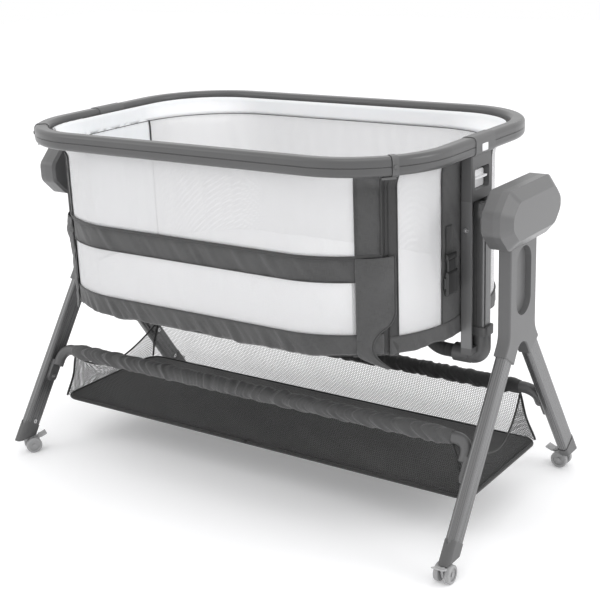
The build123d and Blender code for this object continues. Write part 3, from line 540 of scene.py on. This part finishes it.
# ---------------------------------------------------------------- columns of the bed
# Anodised channels that slide in the head boxes, with moulded heads, elbows and a guide
# rail, and the sleeved tube that joins them under the deck.
column_metal = anodised("column_anodised", 0.47, 0.0, 0.34)
rail_metal = anodised("guide_rail_anodised", 0.5, 0.0, 0.28)
trim_plastic = moulded("trim_nylon", 0.36, 0.4)
dress(column_metal, "column_left", "column_right")
dress(rail_metal, "guide_rails")
dress(trim_plastic, "column_heads", "column_foot_left", "column_foot_right", "end_connectors",
      "rail_sockets")
dress(moulded("handle_abs", 0.95, 0.28, 0.0008, 0.00003), "release_handle_left", "release_handle_right")
dress(trim_plastic, "latch_button_left", "latch_button_right")

tube_sleeve = Finish("bed_tube_sleeve", 0.8, Sheen_Weight=0.2)
tube_spot = tube_sleeve.place()
tube_gather_and_crease_shade = tube_sleeve.noise(tube_spot, 0.006, (1, 5, 5))
tube_thread = tube_sleeve.noise(tube_spot, 0.0009)
# The gather noise also sets the colour, so the furrows of the gathers are darker and the crests lighter:
# painted crease shade.
tube_sleeve.feed(Base_Color=tube_sleeve.mix(tube_gather_and_crease_shade, 0.14, 0.26))
dress(tube_sleeve.bump(tube_gather_and_crease_shade + tube_thread * 0.15, 0.002).material, "bed_tube")

# White height marker on the top of each connector: a printed plate under a clear coat.
MARKER = (0.022, 0.0135)
connector_low, connector_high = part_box("end_connectors")
marker_plastic = moulded("marker_plate", 0.92, 0.25, 0.0008, 0.00002)
for end_name, end in (("left", -1), ("right", 1)):
    y, z = np.meshgrid(np.linspace(-1, 1, 40), np.linspace(-1, 1, 28), indexing="ij")
    squeeze = np.sqrt(1 - 0.12 * z**2)
    face = np.full_like(y, end * (connector_high.x + 0.0002))
    across = y * squeeze * MARKER[0] / 2 - 0.004
    upright = (connector_low.z + connector_high.z) / 2 - 0.004 + z * np.sqrt(1 - 0.12 * y**2) * MARKER[1] / 2
    plate = cloth(np.stack([face, across, upright], -1), 0.0016, 0.0012)
    make(f"height_marker_{end_name}", [plate], marker_plastic, "cradle")

# ---------------------------------------------------------------- rim
# The padded-looking rail round the top: satin charcoal polymer, smooth on top, with the
# crease of its mould line along the outside.
dress(moulded("rim_polymer", 0.325, 0.32, 0.0005, 0.00003), "rim_rear", "rim_front_corners", "drop_rail")

# ---------------------------------------------------------------- deck and mattress
# The deck is a stiff board in charcoal cloth. The mattress is a foam pad in a quilted
# white cover with a faint scatter of small stars, held in by the walls.
deck_cloth = Finish("deck_cloth", 0.85, Sheen_Weight=0.2)
deck_thread = deck_cloth.noise(deck_cloth.place(), 0.0012, (1, 6, 1))
deck_cloth.feed(Base_Color=deck_cloth.mix(deck_thread, 0.2, 0.3))
dress(deck_cloth.bump(deck_thread, 0.0003).material, "deck_board")

STAR_PITCH = 0.034


def printed(name, grey, weave=0.0009, quilt=0.0):
    """White cotton with a faint print of small grey stars, one in each lattice cell."""
    finish = Finish(name, 0.85, Sheen_Weight=0.15, Subsurface_Weight=0.05)
    spot = finish.place(own_uv=True)
    settings = {"feature": "F1", "distance": "MINKOWSKI"}
    cell = {"Vector": spot, "Scale": 1 / STAR_PITCH, "Randomness": 0.8, "Exponent": 0.5}
    star = 1 - finish.node("ShaderNodeTexVoronoi", "Distance", settings, cell).above(0.13, 0.05)
    thread = finish.noise(spot, weave, (1, 5, 1))
    cloud = finish.noise(spot, 0.12)
    finish.feed(Base_Color=finish.mix(star * 0.55 + cloud * 0.25, grey, grey - 0.14))
    if not quilt:
        return finish.bump(thread, 0.0002).material
    u = finish.axis(spot, "X")
    v = finish.axis(spot, "Y")
    puff = ((u + v) * (math.pi / quilt)).sine() * ((u - v) * (math.pi / quilt)).sine()
    return finish.bump((puff * puff).maths("POWER", 0.25) + thread * 0.08, 0.0018).material


mattress_low, mattress_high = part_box("mattress")
mattress_ring = rounded_rectangle(mattress_high.x - 0.001, mattress_high.y - 0.001, 0.2015, 300)
ease = np.linspace(0, math.pi / 2, 8)
pad_inward = np.linspace(0.04, 0.93, 18)
pad_edge = 0.97 + 0.03 * np.sin(ease)
pad_scale = np.concatenate([pad_inward, pad_edge, pad_edge[::-1], pad_inward[::-1]])
pad_half = (mattress_high.z - mattress_low.z) / 2
pad_round = pad_half * np.cos(ease) * 0.96
pad_rise = np.concatenate([np.full(18, -pad_half), -pad_round, pad_round[::-1], np.full(18, pad_half)])


def crown(x, y, z):
    """The top rises a little towards the middle and waves slightly, the base is flat."""
    middle = np.clip(1 - (x / mattress_high.x) ** 2, 0, 1) * np.clip(1 - (y / mattress_high.y) ** 2, 0, 1)
    upper = np.clip((z - mattress_low.z - pad_half) / pad_half, 0, 1)
    return upper * middle**0.5 * (0.0035 + ripples(x, y, 3, [(0.21, 0.0009), (0.12, 0.0006)], 0.7))


def simulate(piece, voxel, pressure, cap, frames=20):
    """Blow a closed pad up with cloth pressure, no point moving further than the cap."""
    bpy.context.view_layer.objects.active = piece
    remesh = piece.modifiers.new("even", "REMESH")
    remesh.mode = "VOXEL"
    remesh.voxel_size = voxel
    bpy.ops.object.modifier_apply(modifier="even")
    rest = np.array([v.co for v in piece.data.vertices])
    sim = piece.modifiers.new("cloth", "CLOTH")
    sim.settings.use_pressure = True
    sim.settings.uniform_pressure_force = pressure
    sim.settings.effector_weights.gravity = 0
    for step in range(1, frames + 1):
        bpy.context.scene.frame_set(step)
    blown = piece.evaluated_get(bpy.context.evaluated_depsgraph_get()).to_mesh()
    moved = np.array([v.co for v in blown.vertices]) - rest
    size = np.linalg.norm(moved, axis=-1, keepdims=True)
    piece.modifiers.clear()
    bpy.context.scene.frame_set(1)
    final = rest + moved * np.minimum(1, cap / (size + 1e-9))
    piece.data.vertices.foreach_set("co", final.astype(np.float32).ravel())
    piece.data.polygons.foreach_set("use_smooth", np.ones(len(piece.data.polygons), bool))
    flat = np.array([piece.data.vertices[loop.vertex_index].co[:2] for loop in piece.data.loops])
    layer = piece.data.uv_layers.new(name="cut")
    layer.data.foreach_set("uv", flat.astype(np.float32).ravel())


mattress_cover = printed("mattress_cotton", 0.94, quilt=0.05)
mattress_shape = pad(mattress_ring, pad_scale, mattress_low.z + pad_half + pad_rise, crown)
mattress = make("mattress_pad", [mattress_shape], mattress_cover, None)
simulate(mattress, 0.006, 2.0, 0.004)
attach(mattress, "cradle")
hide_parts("mattress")

# ---------------------------------------------------------------- wall fabrics
# The walls hang from the rim and are sewn from three cloths: charcoal heather for the
# strips and skirt, white net for the windows and printed white cotton for the lining.
heather = woven("charcoal_heather", 0.17, 0.3)
heather_trim = woven("charcoal_trim", 0.15, 0.24, 0.0009)
bed_net = netting("white_net", 0.9, 0.0017, 0.00052, 0.5, 0.7)
lining = printed("lining_cotton", 0.95)

wall_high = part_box("end_wall_right")[1]
WALL_INSET = 0.0015
WALL_X = wall_high.x - WALL_INSET
WALL_Y = wall_high.y - WALL_INSET
WALL_R = wall_high.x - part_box("rear_wall")[1].x - WALL_INSET
CENTRE_X = WALL_X - WALL_R
CENTRE_Y = WALL_Y - WALL_R
QUARTER = WALL_R * math.pi / 2
HALF_ROUND = 2 * CENTRE_X + 2 * QUARTER + 2 * CENTRE_Y
FOLD_Z = 0.527
ROOF_Z = 0.689
FLOOR_Z = 0.352
NEAR_SEAM = CENTRE_X + WALL_R * math.radians(48)
STRIP = 0.325
rail_inner_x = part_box("rim_rear")[1].x - 0.027
rail_inner_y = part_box("rim_rear")[1].y - 0.027
RAIL_INNER_R = 0.148


def outline(s):
    """Point and outward normal of the wall at distance s round it from the middle of the
    near side: straight, quarter circle, straight end, quarter circle, straight."""
    s = (s + HALF_ROUND) % (2 * HALF_ROUND) - HALF_ROUND
    mirror = np.where(s < 0, -1.0, 1.0)
    d = abs(s)
    first = np.clip((d - CENTRE_X) / WALL_R, 0, math.pi / 2)
    end = np.clip(d - CENTRE_X - QUARTER, 0, 2 * CENTRE_Y)
    second = np.clip((d - CENTRE_X - QUARTER - 2 * CENTRE_Y) / WALL_R, 0, math.pi / 2)
    last = np.clip(d - CENTRE_X - 2 * QUARTER - 2 * CENTRE_Y, 0, CENTRE_X)
    turn = first + second
    x = np.minimum(d, CENTRE_X) + WALL_R * np.sin(turn) - last
    y = -CENTRE_Y + end - WALL_R * np.cos(turn)
    return mirror * x, y, mirror * np.sin(turn), -np.cos(turn)


def on_wall(s, z, out=0.0):
    """Grid points of wall cloth standing `out` proud; near its top the cloth flares to
    meet the inner face of the rim, by the gap between the two rounded outlines."""
    x, y, nx, ny = outline(s)
    qx = abs(x) - (rail_inner_x - RAIL_INNER_R)
    qy = abs(y) - (rail_inner_y - RAIL_INNER_R)
    gap = RAIL_INNER_R - np.hypot(np.maximum(qx, 0), np.maximum(qy, 0)) - np.minimum(np.maximum(qx, qy), 0)
    rise = np.clip((z - 0.640) / (ROOF_Z - 0.640), 0, 1)
    push = out + (gap - 0.003) * rise * rise * (3 - 2 * rise)
    return np.stack([x + nx * push, y + ny * push, z + 0 * s], -1)


def panel(s_from, s_to, z_from, z_to, out=0.0, rough=0.0, seed=1, slope=0.3, step=0.004):
    """A grid on the wall between two distances and two heights, rippled by `rough`."""
    rows = max(8, int(abs(s_to - s_from) / step))
    columns = max(6, int(abs(z_to - z_from) / step))
    s, t = np.meshgrid(np.linspace(s_from, s_to, rows), np.linspace(0, 1, columns), indexing="ij")
    z = z_from + (z_to - z_from) * t
    wave = ripples(s, z, seed, [(0.034, 0.35 * rough), (0.061, 0.4 * rough), (0.021, 0.2 * rough)], slope)
    return on_wall(s, z, out + wave)


def stitches(path, long=0.0032, gap=0.0018, radius=0.00032, lift=(0, 0, 0)):
    """A row of short thread stitches along a path: each is a four-sided spindle."""
    run = np.concatenate([[0], np.cumsum(np.linalg.norm(np.diff(path, axis=0), axis=-1))])
    starts = np.arange(0, run[-1] - long, long + gap)
    def at(d):
        return np.stack([np.interp(d, run, path[:, k]) for k in range(3)], -1) + np.array(lift)
    a, b = at(starts), at(starts + long)
    along = (b - a) / long
    side = np.cross(along, np.array([0.31, 0.17, 0.93]))
    side /= np.linalg.norm(side, axis=-1, keepdims=True)
    top = np.cross(side, along)
    middle = (a + b) / 2
    spindle = np.stack([a, middle + side * radius, middle + top * radius, middle - side * radius,
                        middle - top * radius, b], 1)
    ends = [[0, 2, 1], [0, 3, 2], [0, 4, 3], [0, 1, 4], [5, 1, 2], [5, 2, 3], [5, 3, 4], [5, 4, 1]]
    face = np.array(ends)
    faces = (face[None] + 6 * np.arange(len(a))[:, None, None]).reshape(-1, 3)
    return spindle.reshape(-1, 3), faces.tolist(), np.zeros((faces.size, 2))


def line_on_wall(s, z, out):
    """A path on the wall through arrays of distance and height."""
    return on_wall(np.asarray(s, float), np.asarray(z, float), out)


# ---------------------------------------------------------------- drop side
# The upper half of the near wall hangs from the drop rail: a wide net window between two
# charcoal strips at the corners, bound along the fold.
drop_net_grid = panel(-STRIP - 0.004, STRIP + 0.004, FOLD_Z + 0.001, ROOF_Z, 0.0, 0.0009, 41, 0.1, 0.006)
drop_net = sew("drop_side_net", drop_net_grid, 0.0006, bed_net, "drop_side")
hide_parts("drop_panel")
for end_name, end in (("left", -1), ("right", 1)):
    strip_grid = panel(end * STRIP, end * (NEAR_SEAM - 0.0035), FOLD_Z + 0.001, ROOF_Z, 0.0012, 0.0022,
                       51 + end, 1.1, 0.0028)
    sew(f"drop_side_strip_{end_name}", strip_grid, 0.0018, heather, "drop_side")
    rise = np.linspace(FOLD_Z + 0.003, ROOF_Z - 0.02, 60)
    seam = line_on_wall(end * (NEAR_SEAM - 0.004), rise, 0.003)
    hem = line_on_wall(end * (STRIP + 0.002), rise, 0.0026)
    thread = [stitches(line_on_wall(end * (NEAR_SEAM - 0.010), rise, 0.0034)),
              stitches(line_on_wall(end * (STRIP + 0.006), rise, 0.0030))]
    bound = [tube(seam, 0.0016, 8, up=(1, 0, 0)), tube(hem, 0.0012, 8, up=(1, 0, 0))]
    make(f"drop_side_piping_{end_name}", bound, heather_trim, "drop_side")
    make(f"drop_side_stitches_{end_name}", thread, heather_trim, "drop_side",
         smooth=False)
fold_s = np.linspace(-NEAR_SEAM + 0.003, NEAR_SEAM - 0.003, 260)
fold_bead = tube(line_on_wall(fold_s, FOLD_Z, 0.0022), 0.0027, 10)
fold_binding = make("drop_side_fold_piping", [fold_bead], heather_trim, "drop_side")
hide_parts("fold_piping")

# ---------------------------------------------------------------- near wall
# Below the fold the near wall stays up: a charcoal band with a double bound edge, a net
# window, and a gathered skirt drawn under the deck.
BAND_LOW = 0.484
SKIRT_TOP = 0.392
lower_net_grid = panel(-STRIP - 0.004, STRIP + 0.004, SKIRT_TOP - 0.006, BAND_LOW + 0.006, 0.0, 0.0008, 43,
                       0.1, 0.006)
lower_net = sew("near_wall_net", lower_net_grid, 0.0006, bed_net, "cradle")
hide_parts("front_wall")
band_grid = panel(-NEAR_SEAM + 0.004, STRIP + 0.012, BAND_LOW, FOLD_Z - 0.0015, 0.0012, 0.0020, 61, 0.9,
                  0.003)
sew("near_wall_band", band_grid, 0.0020, heather, "cradle")
band_s = np.linspace(-NEAR_SEAM + 0.006, STRIP, 240)
band_beads = [tube(line_on_wall(band_s, h, 0.0026), r, 8)
              for h, r in ((FOLD_Z - 0.0030, 0.0015), (BAND_LOW + 0.001, 0.0011))]
make("near_wall_band_piping", band_beads, heather_trim, "cradle")
stitch_rows = (FOLD_Z - 0.0085, BAND_LOW + 0.0055)
band_thread = [stitches(line_on_wall(band_s, h, 0.0034)) for h in stitch_rows]
make("near_wall_band_stitches", band_thread, heather_trim, "cradle", smooth=False)


def skirt(s_from, s_to, top_z, gather, seed, slope):
    """The skirt: gathers slant down from the bound top edge and grow to the bottom,
    where the hem waves up and down and turns under the deck."""
    rows = int(abs(s_to - s_from) / 0.0028)
    s, t = np.meshgrid(np.linspace(s_from, s_to, rows), np.linspace(0, 1, 22), indexing="ij")
    hem = FLOOR_Z - 0.001 + ripples(s, 0 * s, seed + 1, [(0.16, 0.0035), (0.071, 0.0022), (0.33, 0.0030)])
    z = top_z + (hem - top_z) * t
    grow = 0.25 + 0.75 * np.sin(math.pi * np.clip(t, 0, 1) * 0.75)
    fold = ripples(s, z, seed, [(0.023, 0.0011), (0.036, 0.0014), (0.057, 0.0012), (0.0145, 0.0005)], slope)
    under = -0.016 * np.clip((t - 0.8) / 0.2, 0, 1) ** 2
    return on_wall(s, z, 0.0018 + gather * grow * fold + under)


skirt_grid = skirt(-NEAR_SEAM + 0.002, NEAR_SEAM - 0.002, SKIRT_TOP, 1.0, 71, 0.75)
sew("near_wall_skirt", skirt_grid, 0.0020, heather, "cradle")
skirt_bead = tube(line_on_wall(band_s, SKIRT_TOP, 0.0024), 0.0012, 8)
make("near_wall_skirt_piping", [skirt_bead], heather_trim, "cradle")

# ---------------------------------------------------------------- corner flaps
# At each near corner the band runs into a wide flap over the zip. Its free edge is bound
# and curves in under the corner, ending in a tail tucked below the skirt.
FLAP_SIDE = [(0.5255, 0.391), (0.425, 0.391), (0.408, 0.383), (0.394, 0.362), (0.380, 0.352),
             (0.366, 0.351), (0.350, 0.358), (0.338, 0.369), (0.329, 0.381)]
FLAP_BACK = [(0.5255, 0.325), (0.362, 0.325), (0.352, 0.328), (0.340, 0.352), (0.329, 0.377)]


def flap_edge(points, heights):
    """Distance round the wall of a flap edge, through a smoothed run of corners."""
    z, s = np.array(points).T
    rough = np.interp(-heights, -z, s)
    kernel = np.hanning(9) / np.hanning(9).sum()
    return np.convolve(np.pad(rough, 4, mode="edge"), kernel, mode="valid")


for end_name, end in (("left", -1), ("right", 1)):
    facing_grid = panel(end * (STRIP - 0.006), end * (NEAR_SEAM + 0.009), FLOOR_Z, FOLD_Z - 0.001, -0.0017, 0,
                        1, 0, 0.006)
    sew(f"corner_facing_{end_name}", facing_grid, 0.0014, heather_trim, "cradle")
    heights = np.linspace(0.5255, 0.329, 80)
    near, far = flap_edge(FLAP_BACK, heights), flap_edge(FLAP_SIDE, heights)
    share = np.linspace(0, 1, 26)[:, None]
    s = near[None] + (far - near)[None] * share
    z = np.broadcast_to(heights[None], s.shape)
    lean = ripples(s, z, 81 + end, [(0.030, 0.0009), (0.017, 0.0005), (0.052, 0.0010)], 1.3)
    slack = np.sin(math.pi * share) * (0.0055 * np.exp(-((z - 0.497) / 0.028) ** 2) + 0.0020)
    calm = np.clip((0.53 - z) / 0.03, 0, 1) * (1 - 0.7 * share**2)
    flap_grid = on_wall(end * s, z, 0.0046 + lean * calm + slack)
    sew(f"corner_flap_{end_name}", flap_grid, 0.0018, heather, "cradle")
    bound = on_wall(end * far, heights, 0.0052)
    inner_row = on_wall(end * (far - 0.006), heights, 0.0066)
    flap_bead = tube(bound, 0.0018, 8, up=(0.4, -0.6, 0.1))
    make(f"corner_flap_piping_{end_name}", [flap_bead], heather_trim, "cradle")
    flap_top = np.linspace(STRIP + 0.002, 0.391, 40)
    rows = [stitches(inner_row), stitches(line_on_wall(end * flap_top, 0.5190, 0.0064)),
            stitches(line_on_wall(end * (STRIP + 0.004), heights[:60], 0.0064))]
    make(f"corner_flap_stitches_{end_name}", rows, heather_trim, "cradle", smooth=False)

# ---------------------------------------------------------------- corner zips
# The zip that frees the drop side at each near corner: a tape with a double row of
# moulded teeth, hidden at the fold by the flap.
ZIP_PITCH = 0.0025
for end_name, end in (("left", -1), ("right", 1)):
    tape_grid = panel(end * (NEAR_SEAM - 0.0025), end * (NEAR_SEAM + 0.010), FOLD_Z - 0.003, ROOF_Z - 0.004,
                      -0.0004, 0, 1, 0, 0.003)
    sew(f"zip_tape_{end_name}", tape_grid, 0.0012, heather_trim, "cradle")
    rise = np.arange(FOLD_Z + 0.004, ROOF_Z - 0.022, ZIP_PITCH)
    teeth = []
    for shift in (-0.0005, 0.0005):
        tooth_line = line_on_wall(end * (NEAR_SEAM + 0.003 + shift), rise + shift, 0.0012)
        teeth.append(stitches(tooth_line, 0.0018, 0.0007, 0.0009))
    zip_resin = moulded(f"zip_resin_{end_name}", 0.3, 0.35)
    make(f"zip_teeth_{end_name}", teeth, zip_resin, "cradle", smooth=False)

# ---------------------------------------------------------------- end walls
# Each end has a charcoal strip beside the zip, a net window and a wide charcoal centre
# panel behind the column, lined with printed cotton; a narrow skirt closes the bottom.
END_STRIP = (NEAR_SEAM + 0.008, 0.398)
CENTRE_PANEL = (0.4905, 0.675)
END_SKIRT = 0.384
for end_name, end in (("left", -1), ("right", 1)):
    edge_grid = panel(end * END_STRIP[0], end * END_STRIP[1], FLOOR_Z - 0.002, ROOF_Z, 0.0010, 0.0012,
                      91 + end, 0.8, 0.003)
    sew(f"end_strip_{end_name}", edge_grid, 0.0018, heather_trim, "cradle")
    net_grid = panel(end * (END_STRIP[1] - 0.004), end * (CENTRE_PANEL[0] + 0.004), END_SKIRT - 0.006, ROOF_Z,
                     0.0, 0.0007, 101 + end, 0.1, 0.006)
    net = sew(f"end_net_{end_name}", net_grid, 0.0006, bed_net, "cradle")
    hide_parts(f"end_wall_{end_name}")
    centre_grid = panel(end * CENTRE_PANEL[0], end * CENTRE_PANEL[1], FLOOR_Z, ROOF_Z, 0.0010, 0.0016,
                        111 + end, 0.7, 0.004)
    sew(f"end_centre_{end_name}", centre_grid, 0.0018, heather, "cradle")
    inner_grid = panel(end * (CENTRE_PANEL[0] - 0.002), end * (CENTRE_PANEL[1] + 0.006), 0.399,
                       ROOF_Z - 0.001, -0.0026, 0.0012, 121 + end, 0.2, 0.005)
    sew(f"end_lining_{end_name}", inner_grid, 0.0014, lining, "cradle")
    rise = np.linspace(0.399, 0.655, 80)
    lining_edge = line_on_wall(end * (CENTRE_PANEL[1] + 0.006), rise, -0.0042)
    trims = [tube(lining_edge, 0.0017, 8, up=(1, 0, 0))]
    make(f"end_lining_piping_{end_name}", trims, heather_trim, "cradle")
    rise = np.linspace(END_SKIRT, ROOF_Z - 0.02, 90)
    seam_places = (END_STRIP[1] - 0.001, CENTRE_PANEL[0] + 0.001, CENTRE_PANEL[1] - 0.001)
    seams = [tube(line_on_wall(end * d, rise, 0.0022), 0.0012, 8, up=(1, 0, 0)) for d in seam_places]
    make(f"end_piping_{end_name}", seams, heather_trim, "cradle")

# ---------------------------------------------------------------- bed straps
# A webbing strap is sewn to each end beside the column and ends in a side-release buckle,
# for tying the cot to a bed. The buckle's socket is wider than its plug.
STRAP_S = CENTRE_X + QUARTER + CENTRE_Y - 0.073
buckle_acetal = moulded("buckle_acetal", 0.17, 0.3, 0.0007, 0.00003)
webbing = woven("strap_webbing", 0.12, 0.2, 0.0016, 0.3)
for end_name, end in (("left", -1), ("right", 1)):
    strap_grid = panel(end * (STRAP_S - 0.010), end * (STRAP_S + 0.010), 0.440, 0.556, 0.0034, 0.0006, 161,
                       0.1, 0.002)
    sew(f"strap_webbing_{end_name}", strap_grid, 0.0014, webbing, "cradle")
    shells = []
    for half, low_z, high_z, out, thick in (
        (0.0165, 0.436, 0.478, 0.0085, 0.0078), (0.0125, 0.476, 0.500, 0.0078, 0.0050),
        (0.0150, 0.498, 0.508, 0.0080, 0.0062), (0.0195, 0.448, 0.468, 0.0078, 0.0046),
    ):
        shell = panel(end * (STRAP_S - half), end * (STRAP_S + half), low_z, high_z, out, 0, 1, 0, 0.0012)
        shells.append(cloth(shell, thick, 0.004))
    make(f"strap_buckle_{end_name}", shells, buckle_acetal, "cradle")

# ---------------------------------------------------------------- far wall
# One net from end panel to end panel round the far side, with a printed cotton band
# under the rim and the skirt that carries on from both ends.
FAR = 2 * HALF_ROUND
far_grid = panel(CENTRE_PANEL[1] - 0.004, FAR - CENTRE_PANEL[1] + 0.004, END_SKIRT - 0.006, 0.662, 0.0,
                 0.0010, 131, 0.1, 0.007)
far_net = sew("far_wall_net", far_grid, 0.0006, bed_net, "cradle")
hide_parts("rear_wall")
top_grid = panel(END_STRIP[1], FAR - END_STRIP[1], 0.656, ROOF_Z, -0.0030, 0.0006, 141, 0.1, 0.005)
sew("rim_band", top_grid, 0.0014, lining, "cradle")
band_run = np.linspace(END_STRIP[1], FAR - END_STRIP[1], 600)
thin_line = tube(line_on_wall(band_run, 0.6555, -0.0042), 0.0007, 6)
make("rim_band_piping", [thin_line], heather_trim, "cradle")
far_skirt_grid = skirt(END_STRIP[0], FAR - END_STRIP[0], END_SKIRT, 0.55, 151, 0.5)
sew("end_and_far_skirt", far_skirt_grid, 0.0020, heather, "cradle")
skirt_run = np.linspace(END_STRIP[0], FAR - END_STRIP[0], 620)
far_bead = tube(line_on_wall(skirt_run, END_SKIRT, 0.0024), 0.0012, 8)
make("far_skirt_piping", [far_bead], heather_trim, "cradle")

# ---------------------------------------------------------------- studio
# A pale floor, a white surround and large soft lamps, with a long lens at the height of
# a standing viewer to the right of the near side.
floor_mesh = bpy.data.meshes.new("studio_floor")
floor_mesh.from_pydata([(-9, -9, 0), (9, -9, 0), (9, 9, 0), (-9, 9, 0)], [], [(0, 1, 2, 3)])
floor_finish = Finish("studio_paper", 0.9, Emission_Color=(1, 1, 1, 1), Emission_Strength=0.12)
floor_cloud = floor_finish.noise(floor_finish.place(), 0.8)
floor_finish.feed(Base_Color=floor_finish.mix(floor_cloud, 0.985, 0.99))
floor_mesh.materials.append(floor_finish.material)
studio_floor = bpy.data.objects.new("studio_floor", floor_mesh)
bpy.context.scene.collection.objects.link(studio_floor)

world = bpy.data.worlds.new("studio")
bpy.context.scene.world = world
world.use_nodes = True
world.node_tree.nodes["Background"].inputs["Color"].default_value = (1, 1, 1, 1)
world.node_tree.nodes["Background"].inputs["Strength"].default_value = 1.0
bpy.context.scene.view_settings.view_transform = "Standard"


def lamp(name, place, aim, size, power):
    """A square soft box at a place, aimed at a point."""
    light = bpy.data.lights.new(name, "AREA")
    light.size = size
    light.energy = power
    box = bpy.data.objects.new(name, light)
    aimed = (Vector(aim) - Vector(place)).to_track_quat("-Z", "Y").to_matrix().to_4x4()
    box.matrix_world = Matrix.Translation(place) @ aimed
    bpy.context.scene.collection.objects.link(box)


lamp("soft_box_left", (-2.4, -2.2, 2.4), (0, 0, 0.4), 1.6, 12)
lamp("soft_box_top", (0.4, -0.4, 3.2), (0, 0, 0.3), 2.2, 20)
lamp("soft_box_right", (3.0, 0.6, 1.6), (0.4, 0, 0.4), 1.2, 18)

EYE = Vector((1.3661, -1.8712, 1.0755))
YAW, PITCH, ROLL = -0.6152, 0.3073, -0.039
LENS = 74.04
ahead = Vector((math.sin(YAW) * math.cos(PITCH), math.cos(YAW) * math.cos(PITCH), -math.sin(PITCH)))
level = Vector((math.cos(YAW), -math.sin(YAW), 0))
lift = level.cross(ahead)
right = level * math.cos(ROLL) + lift * math.sin(ROLL)
above = lift * math.cos(ROLL) - level * math.sin(ROLL)
camera_data = bpy.data.cameras.new("camera")
camera_data.lens = LENS
camera_data.sensor_width = 36
camera = bpy.data.objects.new("camera", camera_data)
turned = Matrix((right, above, -ahead)).transposed().to_4x4()
camera.matrix_world = Matrix.Translation(EYE) @ turned
bpy.context.scene.collection.objects.link(camera)
bpy.context.scene.camera = camera
